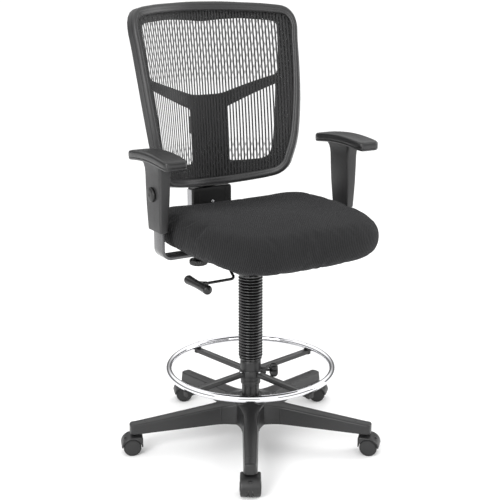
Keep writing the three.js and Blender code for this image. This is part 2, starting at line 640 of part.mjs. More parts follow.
// Round width-lock knob under the bar, with its stud up into the seat pan.
const widthKnob = () => turned([[0, 558], [21, 558], [25, 562], [25, 576], [21, 580], [9, 580], [9, 587], [4, 587],
  [4, 608], [0, 608]], 18).translate(arm.knobX, arm.y, 0);

for (const [side, place] of [['right', mirrored], ['left', (geometry) => geometry]]) {
  add(`arm_bar_${side}`, place(armBar()), materials.blackSteel);
  add(`arm_post_${side}`, place(armPost()), materials.plastic);
  add(`arm_sleeve_${side}`, place(armSleeve()), materials.plastic);
  add(`arm_pad_${side}`, place(armPad()), materials.plastic);
  add(`arm_button_${side}`, place(armButton()), materials.plastic);
  add(`arm_width_knob_${side}`, place(widthKnob()), materials.plastic);
}

// ---------- place the chair on the middle of its own footprint ----------
const extent = new THREE.Box3().setFromObject(chair);
const middle = extent.getCenter(new THREE.Vector3());
chair.position.set(-middle.x, -middle.y, 0);

export default chair;
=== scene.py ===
import math
import bmesh
import bpy
import numpy as np
from mathutils import Matrix, Vector


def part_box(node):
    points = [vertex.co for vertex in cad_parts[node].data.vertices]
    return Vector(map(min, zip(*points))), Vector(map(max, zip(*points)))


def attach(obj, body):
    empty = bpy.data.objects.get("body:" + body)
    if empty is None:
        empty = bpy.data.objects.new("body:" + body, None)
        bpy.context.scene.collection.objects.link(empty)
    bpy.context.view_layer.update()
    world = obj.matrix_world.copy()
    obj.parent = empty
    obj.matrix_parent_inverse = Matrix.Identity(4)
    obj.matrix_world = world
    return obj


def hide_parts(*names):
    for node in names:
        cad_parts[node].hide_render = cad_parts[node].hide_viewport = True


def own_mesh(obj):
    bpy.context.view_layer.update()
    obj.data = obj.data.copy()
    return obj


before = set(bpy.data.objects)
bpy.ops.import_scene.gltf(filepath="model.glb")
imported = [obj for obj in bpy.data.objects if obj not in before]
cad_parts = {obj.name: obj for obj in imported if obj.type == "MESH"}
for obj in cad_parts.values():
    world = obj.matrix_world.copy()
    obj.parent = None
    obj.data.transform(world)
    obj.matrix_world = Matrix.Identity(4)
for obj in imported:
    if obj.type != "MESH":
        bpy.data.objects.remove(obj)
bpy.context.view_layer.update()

# lengths below are millimetres about the column's axis, with the sitter facing -Y
columnLow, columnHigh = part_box("column_tube")
axisPoint = np.array([(columnLow[0] + columnHigh[0]) / 2, (columnLow[1] + columnHigh[1]) / 2, 0.0])


def span(node):
    # lowest and highest corners of a node
    low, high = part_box(node)
    return (np.array(low) - axisPoint) * 1000, (np.array(high) - axisPoint) * 1000


def middle(node):
    low, high = span(node)
    return (low + high) / 2


# camera, lights and floor

cameraLook = {"azimuth": 30.98, "distance": 2685.1, "height": 1300.4, "aim": 572.8, "lens": 71.39,
              "shift": (-0.0011, -0.0031), "clipEnd": 500}


def addCamera():
    turn = math.radians(cameraLook["azimuth"])
    place = np.array([-math.sin(turn), -math.cos(turn), 0]) * cameraLook["distance"]
    place[2] = cameraLook["height"]
    data = bpy.data.cameras.new("camera")
    data.lens = cameraLook["lens"]
    data.shift_x, data.shift_y = cameraLook["shift"]
    data.clip_end = cameraLook["clipEnd"]
    camera = bpy.data.objects.new("camera", data)
    bpy.context.collection.objects.link(camera)
    camera.location = place / 1000 + axisPoint
    aim = np.array([0, 0, cameraLook["aim"]]) / 1000 + axisPoint
    camera.rotation_euler = Vector(aim - np.array(camera.location)).to_track_quat("-Z", "Y").to_euler()
    bpy.context.scene.camera = camera


def addLight(name, place, aim, size, power):
    data = bpy.data.lights.new(name, "AREA")
    data.shape = "RECTANGLE"
    data.size, data.size_y = size
    data.energy = power
    light = bpy.data.objects.new(name, data)
    bpy.context.collection.objects.link(light)
    light.location = place
    light.rotation_euler = (Vector(aim) - Vector(place)).to_track_quat("-Z", "Y").to_euler()


lamps = {
    "key": ((-3.0, -1.6, 1.9), (0, 0, 0.6), (1.8, 2.2), 90),
    "front": ((-0.6, -4.2, 1.2), (0, 0, 0.6), (1.6, 1.2), 26),
    "fill": ((3.2, -1.2, 1.5), (0, 0, 0.6), (1.2, 2.2), 50),
}
# sky brightness against the sine of the elevation: dim near the horizon, bright overhead
sky = ((0.0, 0.10), (0.32, 0.15), (0.48, 1.0), (1.0, 1.0))
stage = {"half": 150, "floorLevel": 0.92, "skyStrength": 1.4}


def addSky():
    world = bpy.data.worlds.new("studio")
    world.use_nodes = True
    tree = world.node_tree
    parts = tree.nodes.new("ShaderNodeSeparateXYZ")
    tree.links.new(tree.nodes.new("ShaderNodeTexCoord").outputs["Generated"], parts.inputs[0])
    ramp = tree.nodes.new("ShaderNodeValToRGB")
    ends = ramp.color_ramp.elements
    while len(ends) < len(sky):
        ends.new(0.5)
    for end, (place, level) in zip(ends, sky):
        end.position, end.color = place, (level, level, level, 1)
    tree.links.new(parts.outputs["Z"], ramp.inputs[0])
    tree.links.new(ramp.outputs["Color"], tree.nodes["Background"].inputs["Color"])
    tree.nodes["Background"].inputs["Strength"].default_value = stage["skyStrength"]
    bpy.context.scene.world = world


def addStage():
    addSky()
    for name, setting in lamps.items():
        addLight(name, *setting)
    mesh = bpy.data.meshes.new("floor")
    half = stage["half"]
    corners = [(-half, -half, 0), (half, -half, 0), (half, half, 0), (-half, half, 0)]
    mesh.from_pydata(corners, [], [(0, 1, 2, 3)])
    floor = bpy.data.objects.new("floor", mesh)
    bpy.context.collection.objects.link(floor)
    paint = bpy.data.materials.new("floorPaint")
    paint.use_nodes = True
    shader = paint.node_tree.nodes["Principled BSDF"]
    level = stage["floorLevel"]
    shader.inputs["Base Color"].default_value = (level, level, level, 1)
    shader.inputs["Roughness"].default_value = 0.9
    shader.inputs["Specular IOR Level"].default_value = 0.0
    mesh.materials.append(paint)


addCamera()
addStage()
bpy.context.scene.view_settings.view_transform = "Standard"


# shader maths: formulas on sockets add their own Math nodes

class Formula:
    def __init__(self, finish, socket):
        self.finish, self.socket = finish, socket

    def math(self, operation, first, second=0.0):
        made = self.finish.node("Math", {"operation": operation}, {0: first, 1: second})
        return self.finish.out(made)

    def __add__(self, other):
        return self.math("ADD", self, other)

    def __sub__(self, other):
        return self.math("SUBTRACT", self, other)

    def __rsub__(self, other):
        return self.math("SUBTRACT", other, self)

    def __mul__(self, other):
        return self.math("MULTIPLY", self, other)

    __radd__ = __add__
    __rmul__ = __mul__


class Finish:
    def __init__(self, name):
        self.material = bpy.data.materials.new(name)
        self.material.use_nodes = True
        self.tree = self.material.node_tree
        self.tree.nodes.clear()

    # type, settings set first (a ramp's stops among them), then values or links of sockets
    def node(self, kind, settings=None, inputs=None):
        made = self.tree.nodes.new("ShaderNode" + kind)
        for key, value in (settings or {}).items():
            if key == "stops":
                ends = made.color_ramp.elements
                while len(ends) < len(value):
                    ends.new(0.5)
                for end, (position, colour) in zip(ends, value):
                    end.position, end.color = position, colour
            else:
                setattr(made, key, value)
        for key, value in (inputs or {}).items():
            if isinstance(value, Formula):
                self.tree.links.new(value.socket, made.inputs[key])
            else:
                made.inputs[key].default_value = value
        return made

    def out(self, made, key=0):
        return Formula(self, made.outputs[key])

    def objectPlace(self):
        return self.out(self.node("TexCoord"), "Object")

    def parts(self, vector):
        made = self.node("SeparateXYZ", None, {0: vector})
        return [self.out(made, i) for i in range(3)]

    def noise(self, place, scale, detail=2.0, rough=0.5):
        return self.out(self.node("TexNoise", None, {"Vector": place, "Scale": scale, "Detail": detail,
                                                     "Roughness": rough}))

    # smooth step of a value from one bound to another
    def ease(self, value, low, high):
        made = self.node("MapRange", {"interpolation_type": "SMOOTHSTEP"}, {0: value, 1: low, 2: high})
        return self.out(made)

    def wave(self, value, period):
        # (cos(2 pi value / period) + 1) / 2: 1 at whole periods and 0 half way between
        made = self.node("Math", {"operation": "COSINE"}, {0: value * (2 * math.pi / period)})
        return self.out(made) * 0.5 + 0.5

    def mix(self, share, first, second):
        made = self.node("Mix", {"data_type": "RGBA"}, {0: share, 6: first, 7: second})
        return self.out(made, 2)

    def bump(self, height, strength, distance, below=None):
        inputs = {"Height": height, "Strength": strength, "Distance": distance}
        if below is not None:
            inputs["Normal"] = below
        return self.out(self.node("Bump", None, inputs))

    def surface(self, inputs):
        shader = self.node("BsdfPrincipled", None, inputs)
        self.node("OutputMaterial", None, {"Surface": self.out(shader)})
        return self.material


def grey(level, alpha=1.0):
    return (level, level, level * 1.03, alpha)


# moulded plastic: fine spark grain, soft mottling of colour and gloss
def moulded(name, level, rough, grain=1400, depth=0.00012, strength=0.35):
    made = Finish(name)
    place = made.objectPlace()
    mottle = made.noise(place, 18, 3)
    fine = made.noise(place, grain, 2)
    colour = made.mix(mottle, grey(level * 0.86), grey(level * 1.14))
    handled = made.noise(place, 55, 4, 0.6)
    return made.surface({
        "Base Color": colour,
        "Roughness": handled * 0.14 + (rough - 0.07),
        "Specular IOR Level": 0.5,
        "Normal": made.bump(fine, strength, depth),
    })


# baked enamel on steel: slight orange peel under a clear coat
def enamel(name, level, rough):
    made = Finish(name)
    place = made.objectPlace()
    peel = made.noise(place, 420, 2)
    dust = made.noise(place, 24, 4, 0.6)
    return made.surface({
        "Base Color": made.mix(dust, grey(level * 0.85), grey(level * 1.2)),
        "Metallic": 0.25,
        "Roughness": dust * 0.12 + (rough - 0.06),
        "Coat Weight": 0.35,
        "Coat Roughness": 0.18,
        "Normal": made.bump(peel, 0.22, 0.0001),
    })


# bare or plated metal: faint smears in the gloss, drawn lines when asked
def plated(name, level, rough, smear=0.05, lines=0.0):
    made = Finish(name)
    place = made.objectPlace()
    smears = made.noise(place, 40, 4, 0.6)
    turned = made.noise(place, 900, 2)
    return made.surface({
        "Base Color": made.mix(smears, grey(level * 0.97), grey(min(1.0, level * 1.03))),
        "Metallic": 1.0,
        "Roughness": smears * smear + rough,
        "Normal": made.bump(turned, lines, 0.00005),
    })


fabricWeave = {"ribPitch": 0.0056, "threadPitch": 0.0019, "dark": 0.003, "light": 0.030}


# seat cloth: steep diagonal ribs crossed by fine threads, with soft patches of tone that vary at random
def seatCloth():
    made = Finish("seatCloth")
    place = made.objectPlace()
    x, y, z = made.parts(place)
    drift = made.noise(place, 60, 2) * 0.0016
    rib = made.wave(x - y * 0.5 - z * 0.25 + drift, fabricWeave["ribPitch"])
    thread = made.wave(y * 1.1 + x * 0.35 + z * 0.4 + drift, fabricWeave["threadPitch"])
    fuzz = made.noise(place, 2400, 2)
    height = rib * 0.7 + thread * 0.15 + fuzz * 0.3
    shade = made.noise(place, 9, 3)
    share = height * 0.6 + shade * 0.35
    colour = made.mix(share, grey(fabricWeave["dark"]), grey(fabricWeave["light"]))
    return made.surface({
        "Base Color": colour,
        "Roughness": fuzz * 0.1 + 0.85,
        "Sheen Weight": 0.08,
        "Sheen Roughness": 0.45,
        "Sheen Tint": (0.55, 0.55, 0.57, 1),
        "Specular IOR Level": 0.12,
        "Normal": made.bump(height, 0.7, 0.0014),
    })


meshWeave = {"pitch": 0.0093, "diamond": 0.032, "low": 0.46, "high": 0.60, "cross": 0.0021, "veil": 0.36}


# back mesh: upright ribs with open slots, a second layer that zigzags behind them, fine cross threads
def meshCloth():
    made = Finish("meshCloth")
    place = made.out(made.node("UVMap", {"uv_map": "weave"}))
    u, v, unused = made.parts(place)
    pitch = meshWeave["pitch"]
    rib = made.wave(u, pitch)
    slant = v * (2 * pitch / meshWeave["diamond"])
    second = made.wave(u + slant + pitch * 0.5, 2 * pitch)
    third = made.wave(u - slant + pitch * 0.5, 2 * pitch)
    zigzag = 1 - made.ease(v, 0.83, 0.86) * (1 - made.ease(v, 1.00, 1.04))
    cross = made.wave(v, meshWeave["cross"])
    solidRib = made.ease(rib, meshWeave["low"], meshWeave["high"])
    thinRib = (made.ease(second, 0.80, 0.97) + made.ease(third, 0.80, 0.97)) * zigzag * meshWeave["veil"]
    filled = solidRib + thinRib + cross * 0.08
    alpha = made.out(made.node("Clamp", None, {0: filled, 1: 0.0, 2: 1.0}))
    knit = made.wave(v, 0.0031) * rib
    return made.surface({
        "Base Color": made.mix(knit, grey(0.010), grey(0.030)),
        "Roughness": knit * 0.1 + 0.75,
        "Alpha": alpha,
        "Sheen Weight": 0.1,
        "Normal": made.bump(rib + knit * 0.4, 0.5, 0.0008),
    })


# bellows: matt black with paler dust mottled at random
def bellowsSkin():
    made = Finish("bellowsSkin")
    place = made.objectPlace()
    dust = made.noise(place, 70, 4, 0.6)
    return made.surface({
        "Base Color": made.mix(dust, grey(0.003), grey(0.008)),
        "Roughness": dust * 0.12 + 0.18,
        "Specular IOR Level": 0.8,
        "Normal": made.bump(made.noise(place, 700, 2), 0.15, 0.0001),
    })


framePlastic = moulded("framePlastic", 0.020, 0.40)
armPlastic = moulded("armPlastic", 0.018, 0.42)
padSkin = moulded("padSkin", 0.012, 0.36, 1000, 0.0002, 0.45)
baseNylon = moulded("baseNylon", 0.014, 0.38, 1100, 0.00018, 0.4)
wheelPlastic = moulded("wheelPlastic", 0.012, 0.42)
knobPlastic = moulded("knobPlastic", 0.004, 0.36)
coverPlastic = moulded("coverPlastic", 0.004, 0.42)
blackEnamel = enamel("blackEnamel", 0.006, 0.30)
armEnamel = enamel("armEnamel", 0.07, 0.24)
chromePlate = plated("chromePlate", 0.78, 0.035)
zincPlate = plated("zincPlate", 0.60, 0.28, 0.12, 0.3)
groundSteel = plated("groundSteel", 0.40, 0.28, 0.1, 0.2)
cushionCloth = seatCloth()
backCloth = meshCloth()
ribbedSkin = bellowsSkin()
print("finishes made")


# shapes: a bit is an array of points and a list of faces

def gridFaces(rows, columns, wrapRows=False, wrapColumns=False):
    r, c = np.meshgrid(np.arange(rows if wrapRows else rows - 1),
                       np.arange(columns if wrapColumns else columns - 1), indexing="ij")
    below, right = (r + 1) % rows, (c + 1) % columns
    quads = np.stack([r * columns + c, r * columns + right, below * columns + right, below * columns + c], -1)
    return quads.reshape(-1, 4).tolist()


def lofted(loops, closed=False):
    # closed loops of equal length joined in order, with a flat cap at each end
    count, around = loops.shape[:2]
    faces = gridFaces(count, around, closed, True)
    if not closed:
        faces += [list(range(around)), list(range((count - 1) * around, count * around))]
    return loops.reshape(-1, 3), faces


def turned(profile, steps=64):
    # a profile of radius and height carried round Z: x = r cos a, y = r sin a
    profile = np.array(profile, float)
    angle = np.linspace(0, 2 * math.pi, steps, endpoint=False)[:, None]
    radius, height = profile[:, 0], profile[:, 1]
    points = np.stack([radius * np.cos(angle), radius * np.sin(angle), height + 0 * angle], -1)
    return points.reshape(-1, 3), gridFaces(steps, len(profile), True, False)


def swept(path, section, up, closed=False):
    # a section carried along a path: its first axis lies across the path, its second along up
    path, up = np.array(path, float), np.array(up, float)
    if closed:
        along = np.roll(path, -1, 0) - np.roll(path, 1, 0)
    else:
        along = np.gradient(path, axis=0)
    along /= np.linalg.norm(along, axis=1, keepdims=True)
    across = np.cross(along, up)
    across /= np.linalg.norm(across, axis=1, keepdims=True)
    over = np.cross(across, along)
    section = np.broadcast_to(section, (len(path),) + np.shape(section)[-2:])
    loops = path[:, None] + across[:, None] * section[..., :1] + over[:, None] * section[..., 1:]
    return lofted(loops, closed)


def roundRect(a, b, r, per=5):
    # rectangle of half sizes a and b with corner radius r; each may be one number or one per section
    a, b, r = (np.atleast_1d(np.array(v, float))[:, None, None] for v in (a, b, r))
    turn = np.linspace(0, math.pi / 2, per + 1)[None, None, :] + (np.arange(4) * math.pi / 2)[None, :, None]
    signX, signY = (np.array(s)[None, :, None] for s in ([1, -1, -1, 1], [1, 1, -1, -1]))
    x = signX * (a - r) + r * np.cos(turn)
    y = signY * (b - r) + r * np.sin(turn)
    count = max(a.shape[0], b.shape[0], r.shape[0])
    return np.stack([np.broadcast_to(v, (count, 4, per + 1)).reshape(count, -1) for v in (x, y)], -1)


def circle(radius, count=20):
    angle = np.linspace(0, 2 * math.pi, count, endpoint=False)
    return np.stack([np.cos(angle), np.sin(angle)], -1) * radius


def roundedPath(corners, radius, perCorner=9, perRun=3):
    # straight runs whose corners are arcs, each arc a cubic with handles 0.5523 of the way
    corners = [np.array(p, float) for p in corners]
    pieces, start = [], corners[0]
    t = np.linspace(0, 1, perCorner)[:, None]
    for before, here, after in zip(corners, corners[1:], corners[2:]):
        enter = here + (before - here) / np.linalg.norm(before - here) * radius
        leave = here + (after - here) / np.linalg.norm(after - here) * radius
        pieces.append(start + (enter - start) * np.linspace(0, 1, perRun, endpoint=False)[:, None])
        h1, h2 = enter + (here - enter) * 0.5523, leave + (here - leave) * 0.5523
        pieces.append(((1 - t) ** 3 * enter + 3 * (1 - t) ** 2 * t * h1 + 3 * (1 - t) * t ** 2 * h2
                       + t ** 3 * leave)[:-1])
        start = leave
    pieces.append(start + (corners[-1] - start) * np.linspace(0, 1, perRun)[:, None])
    return np.concatenate(pieces)


def moved(bit, turnZ=0.0, to=(0, 0, 0), tip=None):
    # tip lays the Z axis onto X ("x") or Y ("y") first, then turns about Z and shifts
    points = bit[0]
    if tip == "x":
        points = np.stack([points[:, 2], points[:, 1], -points[:, 0]], -1)
    if tip == "y":
        points = np.stack([points[:, 0], points[:, 2], -points[:, 1]], -1)
    c, s = math.cos(math.radians(turnZ)), math.sin(math.radians(turnZ))
    spun = points @ np.array([[c, s, 0], [-s, c, 0], [0, 0, 1]])
    return spun + np.array(to, float), bit[1]


def joined(*bits):
    points, faces, start = [], [], 0
    for bit in bits:
        points.append(bit[0])
        faces += [[i + start for i in face] for face in bit[1]]
        start += len(bit[0])
    return np.concatenate(points), faces


def flipped(bit):
    # the same bit on the other side of x = 0
    return bit[0] * np.array([-1, 1, 1]), bit[1]


def block(x0, x1, y0, y1, z0, z1, r=1.0):
    # box with rounded upright edges and eased top and bottom edges
    a, b = (x1 - x0) / 2, (y1 - y0) / 2
    ease = r * 0.3
    rings = roundRect([a - ease, a, a, a - ease], [b - ease, b, b, b - ease], r, 3)
    heights = np.array([z0, z0 + ease, z1 - ease, z1])
    x, y = rings[..., 0] + (x0 + x1) / 2, rings[..., 1] + (y0 + y1) / 2
    return lofted(np.stack([x, y, np.broadcast_to(heights[:, None], x.shape)], -1))


def cleanMesh(mesh):
    # doubles merged, faces turned outwards
    work = bmesh.new()
    work.from_mesh(mesh)
    bmesh.ops.remove_doubles(work, verts=work.verts, dist=2e-6)
    bmesh.ops.recalc_face_normals(work, faces=work.faces)
    work.to_mesh(mesh)
    work.free()


def finishMesh(mesh, sharp):
    mesh.shade_smooth()
    mesh.set_sharp_from_angle(angle=math.radians(sharp))


def addPiece(name, bit, finish, body, replaces=(), sharp=38):
    mesh = bpy.data.meshes.new(name)
    mesh.from_pydata((bit[0] / 1000 + axisPoint).tolist(), [], bit[1])
    cleanMesh(mesh)
    finishMesh(mesh, sharp)
    piece = bpy.data.objects.new(name, mesh)
    bpy.context.collection.objects.link(piece)
    mesh.materials.append(finish)
    if body:
        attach(piece, body)
    if replaces:
        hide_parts(*replaces)
    return piece


def addEdges(piece, width, segments=2, limit=35):
    # rounds the piece's sharp edges, width in millimetres
    bevel = piece.modifiers.new("edges", "BEVEL")
    bevel.width = width / 1000
    bevel.segments = segments
    bevel.limit_method = "ANGLE"
    bevel.angle_limit = math.radians(limit)
    bevel.harden_normals = False


def eased(node, name, width, finish, body):
    # a copy of a CAD node, its triangles merged into flat faces, with rounded edges
    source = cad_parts[node]
    mesh = source.data.copy()
    mesh.transform(source.matrix_world)
    work = bmesh.new()
    work.from_mesh(mesh)
    bmesh.ops.remove_doubles(work, verts=work.verts, dist=2e-6)
    bmesh.ops.dissolve_limit(work, angle_limit=math.radians(1), verts=work.verts, edges=work.edges)
    work.to_mesh(mesh)
    work.free()
    mesh.materials.clear()
    mesh.materials.append(finish)
    finishMesh(mesh, 32)
    piece = bpy.data.objects.new(name, mesh)
    bpy.context.collection.objects.link(piece)
    addEdges(piece, width)
    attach(piece, body)
    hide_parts(node)
    return piece


def paintNode(node, finish):
    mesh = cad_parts[node].data
    mesh.materials.clear()
    mesh.materials.append(finish)


# star base: five drafted arms, hollow from below, that flare into the hub

starBase = {"azimuths": (-121, -49, 23, 95, 167), "reach": 359, "tipHalf": 19, "rootHalf": 24,
            "tipTop": 91, "rootTop": 120, "tipUnder": 62, "rootUnder": 60, "hub": 44, "hubTop": 131,
            "flare": 24, "stemAt": 335, "bore": 25.2, "tipRound": 17, "seamAt": 97,
            "crescentAt": 306}

# section columns: share of the half width, sideways shift, share of the height, upward shift
armSection = np.array([
    [1, -1.0, 0, 0], [1, 0, 0, 1.5], [1, -2.8, 1, -6.4], [1, -3.0, 1, -4.4], [1, -3.8, 1, -2.6],
    [1, -5.0, 1, -1.4], [1, -6.4, 1, -1.0], [0.45, 0, 1, 0.2], [0, 0, 1, 0.5]])
armTrough = np.array([[1, -4.0, 0, 0], [1, -8.0, 1, -5.5], [0.3, 0, 1, -5.0]])


def baseArm():
    # half width w = linear root to tip, + flare (1 - r)^2.4 near the hub, w (1 - s^3)^(1/3) round the tip,
    # with a narrow raised seam near the hub; the trough's roof comes down to close it before the tip
    b = starBase
    turnAt = b["reach"] - b["tipRound"]
    straight = np.union1d(np.linspace(20, turnAt, 60), np.linspace(b["seamAt"] - 2, b["seamAt"] + 2, 11))
    tip = turnAt + b["tipRound"] * np.sin(np.linspace(0, math.pi / 2, 16)[1:])
    r = np.concatenate([straight, tip])
    t = np.clip((r - b["hub"]) / (turnAt - b["hub"]), 0, 1)
    w = b["rootHalf"] + (b["tipHalf"] - b["rootHalf"]) * t + b["flare"] * np.clip((122 - r) / 78, 0, 1) ** 2.4
    w = w + 0.9 * np.clip(1.4 - np.abs(r - b["seamAt"]), 0, 1)
    s = np.clip((r - turnAt) / b["tipRound"], 0, 0.9995)
    w = w * (1 - s ** 3) ** (1 / 3)
    top = b["rootTop"] + (b["tipTop"] - b["rootTop"]) * t ** 0.92 + 8 * np.clip((88 - r) / 44, 0, 1) ** 2
    top = top - 4 * np.clip((s - 0.5) / 0.5, 0, 1) ** 2
    under = b["rootUnder"] + (b["tipUnder"] - b["rootUnder"]) * t
    small = np.clip(w / b["tipHalf"], 0, 1)
    left = armSection[:-1][::-1] * [-1, -1, 1, 1]
    trough = np.concatenate([armTrough * [-1, -1, 1, 1], armTrough[::-1]])
    rows = np.concatenate([armSection, left, trough])
    inside = np.arange(len(rows)) >= len(rows) - len(trough)
    open_ = np.where(inside, 1 - np.clip((s - 0.1) / 0.3, 0, 1)[:, None], 1)
    y = rows[:, 0] * w[:, None] + rows[:, 1] * small[:, None]
    z = under[:, None] + ((top - under)[:, None] * rows[:, 2] + rows[:, 3] * small[:, None]) * open_
    x = np.broadcast_to(r[:, None], y.shape)
    return lofted(np.stack([x, y, z], -1))


def baseHub():
    b = starBase
    low, high = 58, b["hubTop"]
    return turned([(b["bore"], low), (46, low), (47, 60), (46.5, 96), (45.2, 120), (44.2, 126.5),
                   (42, high - 1.4), (39.5, high), (33.5, high), (32.8, high - 1), (31, high - 1.6),
                   (b["bore"], high - 1.6), (b["bore"], low)], 96)


def stemPlace(azimuth):
    # foot of a caster stem's line: reach (cos a, sin a)
    a = math.radians(azimuth)
    return np.array([starBase["stemAt"] * math.cos(a), starBase["stemAt"] * math.sin(a), 0])


def buildBase():
    b = starBase
    bits = [baseHub()]
    stemBoss = turned([(6, 60.2), (12.5, 60.2), (13, 61), (13, 84), (6, 84), (6, 60.2)], 32)
    # a shallow crescent near each tip: an arc that sinks into the top at its ends
    turn = np.radians(np.linspace(-75, 75, 15))
    arc = np.stack([b["crescentAt"] + 11 * np.cos(turn), 11 * np.sin(turn), 91.9 + 1.4 * np.cos(turn)], -1)
    crescent = swept(arc, circle(1.5, 10), (0, 0, 1))
    arm = baseArm()
    for azimuth in b["azimuths"]:
        bits += [moved(arm, azimuth), moved(stemBoss, 0, stemPlace(azimuth)), moved(crescent, azimuth)]
    addPiece("starBase", joined(*bits), baseNylon, "base", ["star_base"], 32)


buildBase()


# casters: two domed wheels under a bent hood with a flat wall beside the stem

caster = {"trail": 19, "trails": (-121, -45, -45, 160, 160), "axleHeight": 25, "wheel": 25, "halfWidth": 27.6,
          "hoodRadius": 30, "hoodInner": 26.2, "wall": 30.4, "wallLow": 26, "web": 5.4, "face": 28.9}


def casterBody():
    # hood outline in the plane of the wheels: an arc over them, a flat top and a wall beside the stem
    c = caster
    high = c["axleHeight"]
    over = np.radians(np.linspace(4, 84, 18))
    under = np.radians(np.linspace(174, 4, 30))
    corner = np.radians(np.linspace(90, 180, 7))
    outline = np.concatenate([
        np.stack([c["hoodRadius"] * np.cos(over), c["hoodRadius"] * np.sin(over) + high], -1),
        np.stack([7 * np.cos(corner) - c["wall"] + 7, 7 * np.sin(corner) + 49], -1),
        [[-c["wall"], c["wallLow"]]],
        np.stack([c["hoodInner"] * np.cos(under), c["hoodInner"] * np.sin(under) + high], -1)])
    # the outer wall draws in by 3.4 mm over the last 6 mm of each side
    turn = np.linspace(0, math.pi / 2, 5)
    side = c["halfWidth"] - 6 * (1 - np.sin(turn))
    width = np.concatenate([-side[::-1], side])
    drawn = 3.4 * (1 - np.cos(turn))
    drawn = np.concatenate([drawn[::-1], drawn])[:, None, None] / c["hoodRadius"]
    centre = np.array([0, high])
    isOuter = (np.arange(len(outline)) < len(over) + len(corner) + 1)[None, :, None]
    rings = centre + (outline - centre) * np.where(isOuter, 1 - drawn, 1)
    across = np.broadcast_to(width[:, None], rings.shape[:2])
    hood = lofted(np.stack([rings[..., 0], across, rings[..., 1]], -1))
    web = block(-24, 22, -c["web"], c["web"], 8, 51, 1)
    boss = turned([(0, 44), (11.5, 44), (11.5, 59.2), (10.6, 60), (7, 60), (0, 60)], 32)
    boss = moved(boss, 0, (-c["trail"], 0, 0))
    return joined(hood, web, boss)


def casterWheel():
    # profile of the wheel about its axle, from the web outwards: a tread, a groove and a domed face
    c = caster
    r, out = c["wheel"], c["face"]
    dome = np.linspace(0, 1, 9)
    face = list(zip((r - 3.2) * (1 - dome), out - 2.0 + 2.0 * (1 - (1 - dome) ** 2.4)))
    profile = [(0, 6.6), (22.4, 6.6), (24.2, 7.2), (r, 8.6), (r, out - 5.0), (r - 0.4, out - 3.6),
               (r - 1.4, out - 2.5), (r - 2.4, out - 2.3), (r - 2.7, out - 3.0), (r - 3.1, out - 3.0)] + face
    return moved(turned(profile, 64), 90, (0, 0, 0), "x")


def buildCasters():
    c = caster
    wheel, body = casterWheel(), casterBody()
    other = (wheel[0] * np.array([1, -1, 1]), wheel[1])
    neck = turned([(5, 58.8), (9.4, 58.8), (9.8, 59.4), (9.8, 61.2), (9.2, 61.8), (5, 61.8), (5, 58.8)], 32)
    up = np.array([0, 0, c["axleHeight"]])
    for i, (azimuth, trail) in enumerate(zip(starBase["azimuths"], c["trails"]), 1):
        t = math.radians(trail)
        stem = stemPlace(azimuth)
        axle = stem + c["trail"] * np.array([math.cos(t), math.sin(t), 0])
        addPiece(f"casterHood{i}", moved(body, trail, axle), wheelPlastic,
                 f"caster_{i}", [f"caster_hood_{i}"], 34)
        addPiece(f"casterNeck{i}", moved(neck, 0, stem), zincPlate, f"caster_{i}")
        for side, shape in (("left", wheel), ("right", other)):
            node = f"caster_wheel_{side}_{i}"
            addPiece(f"casterWheel{side.title()}{i}", moved(shape, trail, axle + up), wheelPlastic,
                     node, [node], 30)
        paintNode(f"caster_stem_{i}", zincPlate)


buildCasters()
print("base and casters made")


# column, gas lift and bellows

column = {"outer": 25, "bottom": 52, "top": 290, "seam": 163}
bellowsTube = {"bottom": 245, "top": 500, "crest": 35, "root": 29.2, "ribs": 28, "keep": 0.294}


def buildColumn():
    c = column
    tube = turned([(0, c["bottom"]), (c["outer"], c["bottom"]), (c["outer"], c["seam"] - 0.6),
                   (c["outer"] - 0.5, c["seam"]), (c["outer"], c["seam"] + 0.6), (c["outer"], c["top"] - 2),
                   (c["outer"] - 0.8, c["top"] - 0.6), (c["outer"] - 2, c["top"]), (0, c["top"])], 72)
    addPiece("columnTube", tube, blackEnamel, "base", ["column_tube"], 30)


def buildBellows():
    # radius = root + (crest - root) |sin(pi ribs s)|^0.7 at share s of the height: full crests, narrow roots
    b = bellowsTube
    low, high = b["bottom"] + 7, b["top"] - 7
    share = np.linspace(0, 1, b["ribs"] * 10 + 1)
    swell = np.abs(np.sin(share * b["ribs"] * math.pi)) ** 0.7
    radius = b["root"] + (b["crest"] - b["root"]) * swell
    profile = [(26.4, b["bottom"]), (32, b["bottom"]), (32.6, b["bottom"] + 1), (32.6, low - 1.5),
               (31.4, low - 0.6)]
    profile += list(zip(radius, low + (high - low) * share))
    profile += [(31.4, high + 0.6), (32.6, high + 1.5), (32.6, b["top"] - 1), (32, b["top"]),
                (26.4, b["top"]), (26.4, b["bottom"])]
    piece = addPiece("bellows", turned(profile, 96), ribbedSkin, "base", ["bellows"], 40)
    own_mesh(piece)


buildColumn()
buildBellows()
for hidden in ("guide_sleeve", "lever_bushing", "arm_post_right", "arm_post_left"):
    paintNode(hidden, coverPlastic)
for hidden in ("piston_rod", "thrust_bearing", "release_pin", "rod_clip"):
    paintNode(hidden, groundSteel)
paintNode("gas_cylinder", blackEnamel)


# foot ring, its sliding hub, four bars and the clamp knob

footRing = {"radius": 235.6, "height": 219.8, "tube": 9.5, "first": 12, "clampAt": -26, "clampHeight": 206,
            "barHalf": 9, "barLow": 197, "barHigh": 210}


